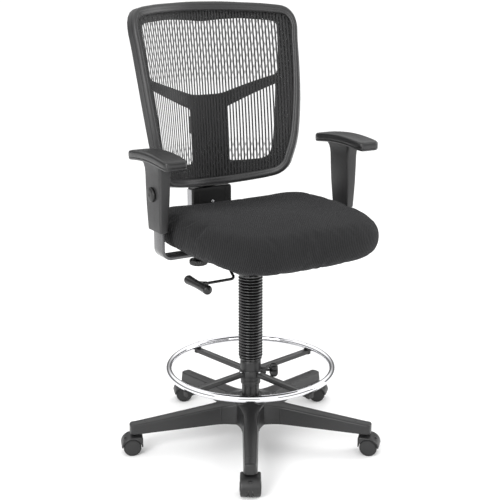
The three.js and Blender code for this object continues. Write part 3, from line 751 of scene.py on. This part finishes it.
def lobed(profile, lobes, depth, sharpness=1.0, steps=12):
    # radius scaled by 1 - depth ((1 - cos(lobes a)) / 2)^sharpness
    profile = np.array(profile, float)
    angle = np.linspace(0, 2 * math.pi, lobes * steps, endpoint=False)[:, None]
    scale = 1 - depth * ((1 - np.cos(lobes * angle)) / 2) ** sharpness
    # the waist eases towards the axis so that the middle of each face stays round
    reach = np.clip(profile[:, 0] / profile[:, 0].max(), 0, 1) ** 2
    radius = profile[:, 0] * (1 - (1 - scale) * reach)
    points = np.stack([radius * np.cos(angle), radius * np.sin(angle), profile[:, 1] + 0 * angle], -1)
    return points.reshape(-1, 3), gridFaces(len(angle), len(profile), True, False)


def screwHead(radius, high):
    return turned([(0, -0.5), (radius, -0.5), (radius, high * 0.35), (radius * 0.82, high * 0.8),
                   (radius * 0.45, high), (0, high)], 24)


def buildFootRing():
    f = footRing
    angle = np.linspace(0, 2 * math.pi, 180, endpoint=False)
    path = np.stack([f["radius"] * np.cos(angle), f["radius"] * np.sin(angle), 0 * angle + f["height"]], -1)
    addPiece("footRing", swept(path, circle(f["tube"], 28), (0, 0, 1), True), chromePlate,
             "footring", ["footring"], 60)
    level, halfHigh = (f["barLow"] + f["barHigh"]) / 2, (f["barHigh"] - f["barLow"]) / 2
    bar = swept([(r, 0, level) for r in (30.3, 120, 242.4)], roundRect(f["barHalf"], halfHigh, 1.6, 4)[0],
                (0, 0, 1))
    cap = block(230, 243.4, -9.8, 9.8, 196, 211, 2.5)
    for i in range(4):
        azimuth = f["first"] + 90 * i
        a = math.radians(azimuth)
        out = np.array([math.cos(a), math.sin(a), 0])
        addPiece(f"ringBar{i + 1}", moved(bar, azimuth), blackEnamel, "footring",
                 [f"footring_spoke_{i + 1}"], 40)
        addPiece(f"ringCap{i + 1}", moved(cap, azimuth), coverPlastic, "footring", (), 34)
        head = moved(screwHead(3.4, 1.8), 0, out * f["radius"] + [0, 0, f["height"] + f["tube"] - 0.3])
        hubHead = moved(screwHead(3.6, 2.2), 0, out * 37 + [0, 0, f["barHigh"] - 0.2])
        addPiece(f"ringScrew{i + 1}", joined(head, hubHead), zincPlate, "footring")


def buildRingHub():
    f = footRing
    sleeve = turned([(25.3, 170), (27.6, 170), (28.6, 171), (28.6, 181), (29.6, 182.4), (30, 184), (30, 236),
                     (29.4, 239), (28.2, 242.2), (26.8, 243), (25.3, 243), (25.3, 170)], 72)
    collar = turned([(29, 193.5), (32.4, 194), (33, 195), (33, 212), (32.4, 213), (29, 213.5)], 72)
    up = (0, 0, f["clampHeight"])
    boss = moved(turned([(0, 27), (11, 27), (11, 43.2), (10.2, 44.4), (0, 44.4)], 32), f["clampAt"], up, "x")
    addPiece("ringHub", joined(sleeve, collar, boss), baseNylon, "footring", ["footring_hub"], 34)
    knob = lobed([(0, 55), (9, 55), (10, 56), (17.5, 57.6), (21, 60), (22, 63), (22, 71), (21, 74.4),
                  (18, 77.4), (12, 79.2), (0, 80)], 6, 0.30, 1.2, 16)
    shank = turned([(0, 27), (3.9, 27), (3.9, 56), (0, 56)], 24)
    addPiece("ringKnob", moved(joined(knob, shank), f["clampAt"], up, "x"), knobPlastic,
             "footring_knob", ["footring_knob"], 40)


buildFootRing()
buildRingHub()
print("column and foot ring made")


# mechanism, height lever and seat pan

leverShape = {"pivot": (-30, 534), "rod": 4, "grip": (-200, -60, 514), "gripHalf": 63, "waist": 10.6,
              "swell": 3}


def buildLever():
    l = leverShape
    x, y, z = l["grip"]
    path = roundedPath([(72, *l["pivot"]), (-86, *l["pivot"]), (-86, y, z), (x + 14, y, z)], 12, 9, 4)
    addPiece("leverRod", swept(path, circle(l["rod"], 20), (0, 0.2, 1)), blackEnamel, "lever",
             ["lever_rod"], 60)
    # grip radius at share s of its half length: waist + swell s^2, times (1 - e^2)^0.5 over the rounded ends
    s = np.linspace(-1, 1, 45)
    ends = np.clip((np.abs(s) - 0.84) / 0.16, 0, 1)
    radius = (l["waist"] + l["swell"] * s ** 2) * ((1 - ends ** 2) ** 0.5 + 0.02)
    ring = circle(1.0, 28)
    grip = lofted(np.stack([x + ring[:, 0] * radius[:, None],
                            y + s[:, None] * l["gripHalf"] + 0 * ring[:, 0],
                            z + ring[:, 1] * radius[:, None]], -1))
    step = np.array([0.0, 0.25, 0.6, 0.9, 1.0])
    half = 14.5 - 8.2 * step ** 0.6
    rings = roundRect(half, half * 0.62, half * 0.25, 4)
    boss = lofted(np.stack([np.broadcast_to((x + 3 + 26 * step)[:, None], rings.shape[:2]), rings[..., 0] + y,
                            rings[..., 1] + z], -1))
    addPiece("leverGrip", joined(grip, boss), knobPlastic, "lever", ["lever_handle"], 40)


buildLever()
eased("mechanism_housing", "mechanism", 1.0, blackEnamel, "seat")
pan = eased("seat_pan", "seatPan", 1.2, coverPlastic, "seat")
# the cushion's edge hides the pan, so its outline is drawn in about its middle
panDrawnIn = (0.90, 0.92, 1, 1)
panMiddle = middle("seat_pan") / 1000 + axisPoint
pan.data.transform(Matrix.Translation(panMiddle) @ Matrix.Diagonal(panDrawnIn)
                   @ Matrix.Translation(-panMiddle))


# seat cushion: a crowned pillow with a waterfall front, inflated as cloth

seat = {"half": 275, "front": -349, "rear": 184, "middle": -30, "frontPower": 3.8, "rearPower": 3.6,
        "top": 694, "under": 607, "inset": 48, "shrink": 6, "voxel": 0.005, "pressure": 4.0, "cap": 0.012,
        "frames": 20, "panTop": 608.5}


def seatPlan(angle, inset=0.0):
    # superellipse |x/a|^n + |y/b|^n = 1 in polar form, front and rear with their own b and n
    s = seat
    front = np.sin(angle) < 0
    b = np.where(front, s["middle"] - s["front"], s["rear"] - s["middle"]) - inset
    n = np.where(front, s["frontPower"], s["rearPower"])
    r = (np.abs(np.cos(angle) / (s["half"] - inset)) ** n + np.abs(np.sin(angle) / b) ** n) ** (-1 / n)
    return r * np.cos(angle), s["middle"] + r * np.sin(angle)


def smooth(value, low, high):
    t = np.clip((value - low) / (high - low), 0, 1)
    return t * t * (3 - 2 * t)


def seatHeights(x, y):
    # top: crown at the front middle, side bolsters, shallow dish behind, waterfall to the front
    forward = np.clip((-y - 150) / 190, 0, 1) ** 2
    crown = 6 * np.exp(-(x / 105) ** 2 - ((y + 160) / 90) ** 2)
    bolster = 6 * np.exp(-((np.abs(x) - 205) / 58) ** 2) * smooth(y, -250, -60)
    dish = 9 * np.exp(-(x / 120) ** 2 - ((y - 60) / 95) ** 2)
    top = seat["top"] - 2 + crown + bolster - dish - 11 * forward - 11 * smooth(y, 60, 184)
    under = seat["under"] - 22 * smooth(-y, 180, 345)
    return top, under


def cushionShape():
    # rings from the middle of the top, over a rounded side, to the middle of the underside;
    # side profile: half height * cos(v)^0.8 against inset * (1 - sin(v)^0.8)
    angle = np.linspace(0, 2 * math.pi, 168, endpoint=False)[None, :]
    shrink = seat["shrink"]

    def flatRings(share):
        x, y = seatPlan(angle, shrink + seat["inset"])
        return x * share[:, None], seat["middle"] + (y - seat["middle"]) * share[:, None]

    x, y = flatRings(np.linspace(0.04, 1, 26) ** 0.8)
    crownRings = np.stack([x, y, seatHeights(x, y)[0] - shrink * 0.5], -1)
    v = np.linspace(0, math.pi, 22)[1:-1, None]
    x, y = seatPlan(angle, shrink + seat["inset"] * (1 - np.sin(v) ** 0.8))
    top, under = seatHeights(x, y)
    half = (top - under) / 2 - shrink * 0.5
    side = (top + under) / 2 + half * np.sign(np.cos(v)) * np.abs(np.cos(v)) ** 0.8
    sideRings = np.stack([x, y, side], -1)
    x, y = flatRings(np.linspace(1, 0.04, 14))
    underRings = np.stack([x, y, seatHeights(x, y)[1] + shrink * 0.4], -1)
    return lofted(np.concatenate([crownRings, sideRings, underRings]))


def inflated(piece, voxel, pressure, cap, frames):
    # cloth under pressure; each point then moves by m cap / (m + cap), which never passes cap
    remesh = piece.modifiers.new("remesh", "REMESH")
    remesh.mode = "VOXEL"
    remesh.voxel_size = voxel
    remesh.use_smooth_shade = True
    applyModifiers(piece)
    start = points(piece.data)
    cloth = piece.modifiers.new("cloth", "CLOTH")
    cloth.settings.quality = 5
    cloth.settings.mass = 0.35
    cloth.settings.tension_stiffness = 22
    cloth.settings.compression_stiffness = 10
    cloth.settings.shear_stiffness = 8
    cloth.settings.bending_stiffness = 0.7
    cloth.settings.use_pressure = True
    cloth.settings.uniform_pressure_force = pressure
    cloth.settings.shrink_min = -0.015
    cloth.settings.effector_weights.gravity = 0
    cloth.point_cache.frame_start, cloth.point_cache.frame_end = 1, frames
    for number in range(1, frames + 1):
        bpy.context.scene.frame_set(number)
    applyModifiers(piece)
    move = points(piece.data) - start
    length = np.linalg.norm(move, axis=1, keepdims=True)
    placed = start + move * (cap / (length + cap))
    piece.data.vertices.foreach_set("co", placed.ravel())
    bpy.context.scene.frame_set(1)


def points(mesh):
    co = np.empty(len(mesh.vertices) * 3)
    mesh.vertices.foreach_get("co", co)
    return co.reshape(-1, 3)


def applyModifiers(piece):
    shown = bpy.context.evaluated_depsgraph_get()
    made = bpy.data.meshes.new_from_object(piece.evaluated_get(shown), preserve_all_data_layers=True,
                                           depsgraph=shown)
    old = piece.data
    piece.modifiers.clear()
    piece.data = made
    made.name = old.name


def buildCushion():
    s = seat
    piece = addPiece("seatCushion", cushionShape(), cushionCloth, "seat", ["seat_cushion"],
                     180)
    inflated(piece, s["voxel"], s["pressure"], s["cap"], s["frames"])
    settleSeat(piece.data)
    piece.data.shade_smooth()
    rounder = piece.modifiers.new("rounder", "SUBSURF")
    rounder.levels = rounder.render_levels = 1
    low, high = points(piece.data).min(0), points(piece.data).max(0)
    print("cushion from", (low - axisPoint) * 1000, "to", (high - axisPoint) * 1000)


def settleSeat(mesh):
    # the underside lies flat on the pan where it is above it: z held at or above the pan's top
    place = points(mesh)
    local = (place - axisPoint) * 1000
    over = (np.abs(local[:, 0]) < 228) & (local[:, 1] > -262) & (local[:, 1] < 176) & (local[:, 2] < 640)
    local[:, 2] = np.where(over, np.maximum(local[:, 2], seat["panTop"]), local[:, 2])
    mesh.vertices.foreach_set("co", (local / 1000 + axisPoint).ravel())


buildCushion()
print("seat made")


# back: rim, rear shell with three windows, stretched mesh

back = {"bottom": 717, "top": 1240, "widen": 0.6,
        "side": ((55, 718.5), (110, 725), (158, 735), (187, 746), (207, 768), (218, 800), (231, 850),
                 (245, 950), (254, 1050), (259.5, 1130), (263, 1176), (257, 1204), (240, 1223), (190, 1232),
                 (110, 1237), (55, 1239.5)),
        "middle": 975.0, "dishHalf": 262}


def heightShare(z):
    # t = (z - bottom) / (top - bottom)
    return (z - back["bottom"]) / (back["top"] - back["bottom"])


def dish(t):
    # how far the edge stands in front of the middle: 160 - 89 t
    return 160 - 89 * t


def backDepth(x, z):
    # y = 219 + 16 t + 33 t^2 - (160 - 89 t)(x / 262)^2
    t = heightShare(z)
    return 219 + 16 * t + 33 * t ** 2 - dish(t) * (x / back["dishHalf"]) ** 2


def behindBack(x, z, offset):
    # the point at an offset square to that surface: its normal is (-dy/dx, 1, -dy/dz) made unit
    t, half = heightShare(z), back["dishHalf"]
    rise = -2 * dish(t) * x / half ** 2
    lean = (16 + 66 * t + 89 * (x / half) ** 2) / (back["top"] - back["bottom"])
    length = np.sqrt(rise ** 2 + 1 + lean ** 2)
    return np.stack([x - rise / length * offset, backDepth(x, z) + offset / length,
                     z - lean / length * offset], -1)


def throughPoints(points2, count, power=0.5):
    # closed Catmull-Rom curve with knots spaced by distance^power, evaluated by Lagrange-Barry-Goldman steps
    p = np.array(points2, float)
    before, here, after, later = np.roll(p, 1, 0), p, np.roll(p, -1, 0), np.roll(p, -2, 0)
    step = [np.linalg.norm(b - a, axis=1)[:, None, None] ** power
            for a, b in ((before, here), (here, after), (after, later))]
    t0 = 0
    t1 = t0 + step[0]
    t2 = t1 + step[1]
    t3 = t2 + step[2]
    t = t1 + (t2 - t1) * np.linspace(0, 1, count, endpoint=False)[None, :, None]
    a, b, c, d = (q[:, None] for q in (before, here, after, later))
    a1 = (t1 - t) / (t1 - t0) * a + (t - t0) / (t1 - t0) * b
    a2 = (t2 - t) / (t2 - t1) * b + (t - t1) / (t2 - t1) * c
    a3 = (t3 - t) / (t3 - t2) * c + (t - t2) / (t3 - t2) * d
    b1 = (t2 - t) / (t2 - t0) * a1 + (t - t0) / (t2 - t0) * a2
    b2 = (t3 - t) / (t3 - t1) * a2 + (t - t1) / (t3 - t1) * a3
    return ((t2 - t) / (t2 - t1) * b1 + (t - t1) / (t2 - t1) * b2).reshape(-1, 2)


def evenly(loop, count):
    # closed loop resampled at even distances
    closed = np.concatenate([loop, loop[:1]])
    run = np.concatenate([[0], np.cumsum(np.linalg.norm(np.diff(closed, axis=0), axis=1))])
    want = np.linspace(0, run[-1], count, endpoint=False)
    return np.stack([np.interp(want, run, closed[:, i]) for i in (0, 1)], -1)


def backOutline(count=240):
    right = np.array(back["side"], float)
    left = right[::-1] * [-1, 1]
    loop = np.concatenate([[[0, back["bottom"]]], right, [[0, back["top"]]], left])
    return evenly(throughPoints(loop, 24), count)


def inward(loop):
    # unit normals of a closed loop that runs with its inside on the left
    along = np.roll(loop, -1, 0) - np.roll(loop, 1, 0)
    along /= np.linalg.norm(along, axis=1, keepdims=True)
    return np.stack([-along[:, 1], along[:, 0]], -1)


def band(loop, section, widen=0.0):
    # section rows are (distance inwards, distance behind the mesh); the first is scaled by 1 + widen |nz|,
    # so that it grows towards level edges
    section = np.array(section, float)
    into = inward(loop)
    reach = section[None, :, :1] * (1 + widen * np.abs(into[:, None, 1:]))
    flat = loop[:, None] + into[:, None] * reach
    return lofted(behindBack(flat[..., 0], flat[..., 1], section[None, :, 1]), True)


def dished(loop, rings, near, far):
    # plate between two offsets: rings from the middle to the loop on both faces
    centre = np.array([0, back["middle"]])
    share = np.linspace(0.02, 1, rings)[:, None, None]
    flat = centre + share * (loop[None] - centre)
    front = behindBack(flat[..., 0], flat[..., 1], near)
    rear = behindBack(flat[..., 0], flat[..., 1], far)
    return lofted(np.concatenate([front, rear[::-1]]))


def roundedLoop(corners, radius, per=9):
    # closed polygon whose corners are quadratic arcs of about that radius
    p = np.array(corners, float)
    toBefore, toAfter = np.roll(p, 1, 0) - p, np.roll(p, -1, 0) - p
    lengthBefore = np.linalg.norm(toBefore, axis=1, keepdims=True)
    lengthAfter = np.linalg.norm(toAfter, axis=1, keepdims=True)
    reach = np.minimum(radius, 0.48 * np.minimum(lengthBefore, lengthAfter))
    enter, leave = p + toBefore / lengthBefore * reach, p + toAfter / lengthAfter * reach
    t = np.linspace(0, 1, per)[None, :, None]
    arcs = (1 - t) ** 2 * enter[:, None] + 2 * (1 - t) * t * p[:, None] + t ** 2 * leave[:, None]
    return arcs.reshape(-1, 2)


def upperWindow():
    x = np.linspace(-207, 207, 17)
    low = np.stack([x, 979 + 0.345 * np.maximum(np.abs(x) - 45, 0)], -1)
    side = [(211, 1060), (217, 1134), (219, 1180), (198, 1189), (165, 1191), (115, 1195), (53, 1192)]
    high = side + [(0, 1187)] + [(-x, z) for x, z in side[::-1]]
    return evenly(roundedLoop(np.concatenate([low, high]), 16), 200)


def lowerWindow():
    x = np.linspace(200, 57, 10)
    high = np.stack([x, 943 + 0.49 * np.maximum(x - 60, 0)], -1)
    rest = [(56, 860), (56, 783), (110, 783), (153, 787.6), (172, 799), (181.6, 833), (191, 915)]
    return evenly(roundedLoop(np.concatenate([high, rest]), 14), 150)


def anticlockwise(loop):
    ahead = np.roll(loop, -1, 0)
    area = np.sum(loop[:, 0] * ahead[:, 1] - ahead[:, 0] * loop[:, 1])
    return loop if area > 0 else loop[::-1]


def cutWith(piece, bits):
    # boolean difference of the piece and the bits, applied
    mesh = bpy.data.meshes.new("cutter")
    bit = joined(*bits)
    mesh.from_pydata((bit[0] / 1000 + axisPoint).tolist(), [], bit[1])
    cleanMesh(mesh)
    cutter = bpy.data.objects.new("cutter", mesh)
    bpy.context.collection.objects.link(cutter)
    cut = piece.modifiers.new("cut", "BOOLEAN")
    cut.operation, cut.solver, cut.object = "DIFFERENCE", "EXACT", cutter
    bpy.context.view_layer.update()
    applyModifiers(piece)
    bpy.data.objects.remove(cutter)


def prism(loop, near, far):
    # a loop in the x-z plane carried from one y to another
    levels = np.array([near, far], float)[:, None]
    x, z = (np.broadcast_to(loop[:, i], (2, len(loop))) for i in (0, 1))
    return lofted(np.stack([x, np.broadcast_to(levels, x.shape), z], -1))


def buildBack():
    outline = anticlockwise(backOutline())
    bezel = band(outline, [(0.2, -0.3), (0, -2), (0, -8.4), (0.8, -11), (2.4, -13), (4.2, -14), (7, -14.2),
                           (8.6, -13.4), (9.2, -12.8), (10, -12.9), (12.6, -12.4), (14.2, -10.8), (15, -8.6),
                           (15, -1.4)], back["widen"])
    addPiece("backBezel", bezel, framePlastic, "back", ["back_bezel"], 40)
    rim = band(outline, [(0.2, 0.3), (9, 0.3), (9.4, 1.4), (14, 1.4), (14, 10), (13.4, 14.4), (12, 15.4),
                         (4, 15.4), (1.4, 14.4), (0.2, 12.6), (0, 10)])
    plate = addPiece("backShell", dished(evenly(outline, 120), 26, 9, 14.6), framePlastic,
                     "back", ["back_shell"], 34)
    windows = [anticlockwise(loop) for loop in (upperWindow(), lowerWindow(), lowerWindow() * [-1, 1])]
    cutWith(plate, [prism(loop, 60, 320) for loop in windows])
    finishMesh(plate.data, 34)
    beads = [band(loop, [(-6.5, 8.2), (-0.6, 8.2), (0.4, 9.2), (0.4, 14.4), (-0.8, 15.6), (-3, 16),
                         (-5, 15.6), (-6.5, 14.6)]) for loop in windows]
    z = np.linspace(735, 968, 30)
    spine = np.stack([0 * z, backDepth(0, z) + 15.5, z], -1)
    rib = swept(spine, roundRect(2.2, 46, 2, 4)[0], (1, 0, 0))
    addPiece("shellRim", joined(rim, rib, *beads), framePlastic, "back", (), 38)


def buildMesh():
    # cloth grid: rings from the middle to 10 mm inside the outline;
    # u is the distance across the surface, v is the height
    outline = evenly(anticlockwise(backOutline()), 160)
    edge = outline + inward(outline) * 10
    centre = np.array([0, back["middle"]])
    share = np.linspace(0, 1, 46)[1:, None, None]
    flat = centre + share * (edge[None] - centre)
    place = np.stack([flat[..., 0], backDepth(flat[..., 0], flat[..., 1]), flat[..., 1]], -1)
    rows, columns = place.shape[:2]
    vertices = np.concatenate([place.reshape(-1, 3), [[0, backDepth(*centre), back["middle"]]]])
    faces = gridFaces(rows, columns, False, True)
    last = len(vertices) - 1
    faces += [[last, i, (i + 1) % columns] for i in range(columns)]
    mesh = bpy.data.meshes.new("backMesh")
    mesh.from_pydata((vertices / 1000 + axisPoint).tolist(), [], faces)
    cleanMesh(mesh)
    piece = bpy.data.objects.new("backMesh", mesh)
    bpy.context.collection.objects.link(piece)
    local = (points(mesh) - axisPoint) * 1000
    # distance across the dish: s = integral of sqrt(1 + (k x)^2), k = 2 (160 - 89 t) / 262^2
    k = 2 * dish(heightShare(local[:, 2])) / back["dishHalf"] ** 2
    a = k * local[:, 0]
    across = (a * np.sqrt(1 + a ** 2) + np.arcsinh(a)) / (2 * k)
    weave = mesh.uv_layers.new(name="weave")
    corners = np.empty(len(mesh.loops), int)
    mesh.loops.foreach_get("vertex_index", corners)
    weave.data.foreach_set("uv", np.stack([across, local[:, 2]], -1)[corners].ravel() / 1000)
    mesh.shade_smooth()
    mesh.materials.append(backCloth)
    length = (local[:, 2].max() - local[:, 2].min()) / 1000
    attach(piece, "back")
    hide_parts("back_mesh")
    round(length + 0.01, 3)


buildBack()
buildMesh()


# upright bar, its cover with a screw, ratchet carriage

upright = {"half": 30, "thick": 8, "low": 594, "top": 975, "start": 93, "at": 260, "bend": 30, "front": 218,
           "coverHalf": 66, "coverDeep": 18}


def buildUpright():
    u = upright
    corners = [(0, u["start"], u["low"]), (0, u["at"], u["low"]), (0, u["at"], u["top"])]
    bar = swept(roundedPath(corners, u["bend"], 16, 6), roundRect(u["thick"] / 2, u["half"], 1.2, 3)[0],
                (1, 0, 0))
    addPiece("backUpright", bar, blackEnamel, "seat", ["back_upright"], 40)
    levels = np.array([628, 629, 632, 638, 650, 700, 708, 710.6, 711.6])
    wide = u["coverHalf"] - np.array([6, 4, 1.6, 0.4, 0, 0, 0.8, 2, 4])
    deep = u["coverDeep"] - np.array([5, 3, 1.4, 0.3, 0, 0, 0.6, 1.6, 3])
    rings = roundRect(wide, deep, 6, 8)
    cover = lofted(np.stack([rings[..., 0], rings[..., 1] + u["front"] + u["coverDeep"],
                             np.broadcast_to(levels[:, None], rings.shape[:2])], -1))
    seams = [block(side * 44 - 0.8, side * 44 + 0.8, u["front"] - 0.7, u["front"] + 1, 636, 706, 0.3)
             for side in (-1, 1)]
    addPiece("uprightCover", joined(cover, *seams), coverPlastic, "seat",
             ["upright_cover"], 34)
    edge = u["coverHalf"] + 0.4
    plates = [block(side * edge - 0.8, side * edge + 0.8, u["front"] + 6,
                    u["front"] + 2 * u["coverDeep"] - 3, 632, 706, 0.5) for side in (-1, 1)]
    addPiece("uprightPlates", joined(*plates), groundSteel, "seat")
    head = moved(screwHead(4.2, 2.2), 0, (0, 0, 0), "y")
    head = (head[0] * np.array([1, -1, 1]) + np.array([0, u["front"] + 0.3, 668]), head[1])
    addPiece("coverScrew", head, zincPlate, "seat")
    eased("back_carriage", "carriage", 1.5, coverPlastic, "back")


buildUpright()
print("back made")


# arms: bent bar, sleeve on its post, pad, height button and width knob

arm = {"x": 294, "y": -26, "barHalf": 25, "barLow": 594, "barTop": 800, "bend": 24, "inner": 112,
       "button": 766, "knob": 179, "padX": 298, "padFront": -146, "padRear": 80, "padThick": 25,
       "padTop": 868, "padRise": 9}


def armBar():
    a = arm
    corners = [(a["inner"], a["y"], a["barLow"]), (a["x"], a["y"], a["barLow"]),
               (a["x"], a["y"], a["barTop"])]
    return swept(roundedPath(corners, a["bend"], 14, 8), roundRect(4, a["barHalf"], 1.3, 3)[0], (0, 1, 0))


def armSleeve():
    # outside from the bottom to the flare under the pad as (half width, inner face, outer face, height),
    # inside from the cavity's top to the mouth
    a = arm
    outside = np.array([(34.6, 8.2, 13.4, 668), (35.8, 8.9, 14.2, 668.6), (36.6, 9.4, 14.8, 670.5),
                        (38.8, 11, 15.8, 700), (42, 13.2, 16.4, 740), (43.8, 15, 16.7, 785),
                        (44.4, 16.4, 17, 818),
                        (45.6, 17.6, 17.8, 831), (48, 19.6, 19.6, 841), (52, 22, 22, 848.5),
                        (54.5, 23.6, 23.6, 853), (55, 24, 24, 858)])
    inside = np.array([(30.5, 10.2, 10.4, 845), (30.5, 9.9, 10.4, 700), (29, 7, 10.4, 690),
                       (29, 6.4, 10.8, 668)])
    rows = np.concatenate([inside, outside])
    corner = np.concatenate([np.full(len(inside), 3.0), np.linspace(4.5, 9, len(outside))])
    rings = roundRect((rows[:, 1] + rows[:, 2]) / 2, rows[:, 0], corner, 7)
    shift = ((rows[:, 2] - rows[:, 1]) / 2)[:, None]
    return lofted(np.stack([rings[..., 0] + a["x"] + shift, rings[..., 1] + a["y"],
                            np.broadcast_to(rows[:, 3:], rings.shape[:2])], -1))


def padSpan(y):
    # share of the pad's length behind its front end
    return np.clip((y - arm["padFront"]) / (arm["padRear"] - arm["padFront"]), 0, 1)


def armPad():
    # section rings from the underside to the top: plan half widths shrink by the edge rounding at both;
    # plan: |x / w|^9 + |y / b|^9 = 1, w = 33.5 to 35.5 from front to rear; all rise by 9 sin(pi t)
    a = arm
    centre, reach = (a["padFront"] + a["padRear"]) / 2, (a["padRear"] - a["padFront"]) / 2
    angle = np.linspace(0, 2 * math.pi, 144, endpoint=False)
    c, q = np.cos(angle), np.sin(angle)
    r = (np.abs(c) ** 9 + np.abs(q) ** 9) ** (-1 / 9)
    low, high = -a["padThick"], 0
    levels = np.array([(9, low + 0.2), (3.5, low + 0.4), (1.6, low + 1.6), (0.6, low + 4), (0.2, low + 6.6),
                       (0.9, low + 7.2), (0.9, low + 7.9), (0, low + 8.6), (0, high - 7), (0.4, high - 4.6),
                       (1.6, high - 2.2), (3.4, high - 0.7), (6, high), (12, high + 0.5), (22, high + 0.7)])
    inset, level = levels[:, :1], levels[:, 1:]
    along = np.clip(r * q, -1, 1)
    y = centre + along * (reach - inset)
    t = padSpan(y)
    x = a["padX"] + r * c * (33.5 + 2 * t - inset)
    z = a["padTop"] + a["padRise"] * np.sin(math.pi * t) + level
    top = np.stack([x, y, z], -1)
    # the middle of the top and of the underside: rings drawn in towards the centre line
    share = np.array([0.66, 0.33, 0.03])[:, None, None]
    spine = np.stack([np.full_like(y[-1], a["padX"]), centre + (y[-1] - centre) * 0.9], -1)
    cap = []
    for ring in (top[0], top[-1]):
        flat = spine + (ring[None, :, :2] - spine) * share
        rise = a["padTop"] + a["padRise"] * np.sin(math.pi * padSpan(flat[..., 1]))
        offset = ring[:, 2] - a["padTop"] - a["padRise"] * np.sin(math.pi * padSpan(ring[:, 1]))
        cap.append(np.concatenate([flat, (rise + offset)[..., None]], -1))
    return lofted(np.concatenate([cap[0][::-1], top, cap[1]]))


def armButton():
    a = arm
    face = turned([(0, -3.6), (8, -3.6), (8, 0.2), (17.6, 0.2), (18.8, 1), (19, 4.4), (18, 6.4),
                   (15.6, 7.8), (6, 8.4), (4.4, 8.2), (3.8, 7.4), (0, 7.2)], 48)
    slot = block(-0.8, 0.8, -3.6, 3.6, 7.3, 7.7, 0.2)
    return moved(joined(face, slot), 0, (a["x"] + 16.8, a["y"], a["button"]), "x")


def widthKnob():
    a = arm
    grip = lobed([(0, 558), (15, 558), (17, 559), (20.5, 559.6), (23.4, 561), (25, 564), (25, 571),
                  (24, 573.6), (20, 575), (14, 576.6), (12, 579.6), (0, 580)], 28, 0.05, 1.0, 8)
    stud = turned([(0, 579), (4.6, 579), (4.6, 607.5), (0, 607.5)], 20)
    return moved(joined(grip, stud), 0, (a["knob"], a["y"], 0))


def buildArms():
    a = arm
    bar, sleeve, pad, button, knob = armBar(), armSleeve(), armPad(), armButton(), widthKnob()
    slot = block(a["knob"] - 31, a["knob"] + 31, a["y"] - 4.6, a["y"] + 4.6, 580, 606, 4.4)
    # the round recess that the button's cap sinks into
    recess = moved(turned([(0, 13.3), (19.6, 13.3), (19.6, 30), (0, 30)], 48), 0,
                   (a["x"], a["y"], a["button"]), "x")
    for side, turn in (("right", flipped), ("left", lambda bit: bit)):
        name = side.title()
        barPiece = addPiece(f"armBar{name}", turn(bar), armEnamel, f"arm_{side}",
                            [f"arm_bar_{side}"], 40)
        cutWith(barPiece, [turn(slot)])
        finishMesh(barPiece.data, 40)
        sleevePiece = addPiece(f"armSleeve{name}", turn(sleeve), armPlastic,
                               f"armrest_{side}", [f"arm_sleeve_{side}"], 40)
        cutWith(sleevePiece, [turn(recess)])
        finishMesh(sleevePiece.data, 40)
        addPiece(f"armPad{name}", turn(pad), padSkin, f"armrest_{side}",
                 [f"arm_pad_{side}"], 60)
        addPiece(f"armButton{name}", turn(button), knobPlastic, f"arm_button_{side}",
                 [f"arm_button_{side}"], 34)
        addPiece(f"widthKnob{name}", turn(knob), knobPlastic, f"arm_width_knob_{side}",
                 [f"arm_width_knob_{side}"], 40)


buildArms()
print("arms made")
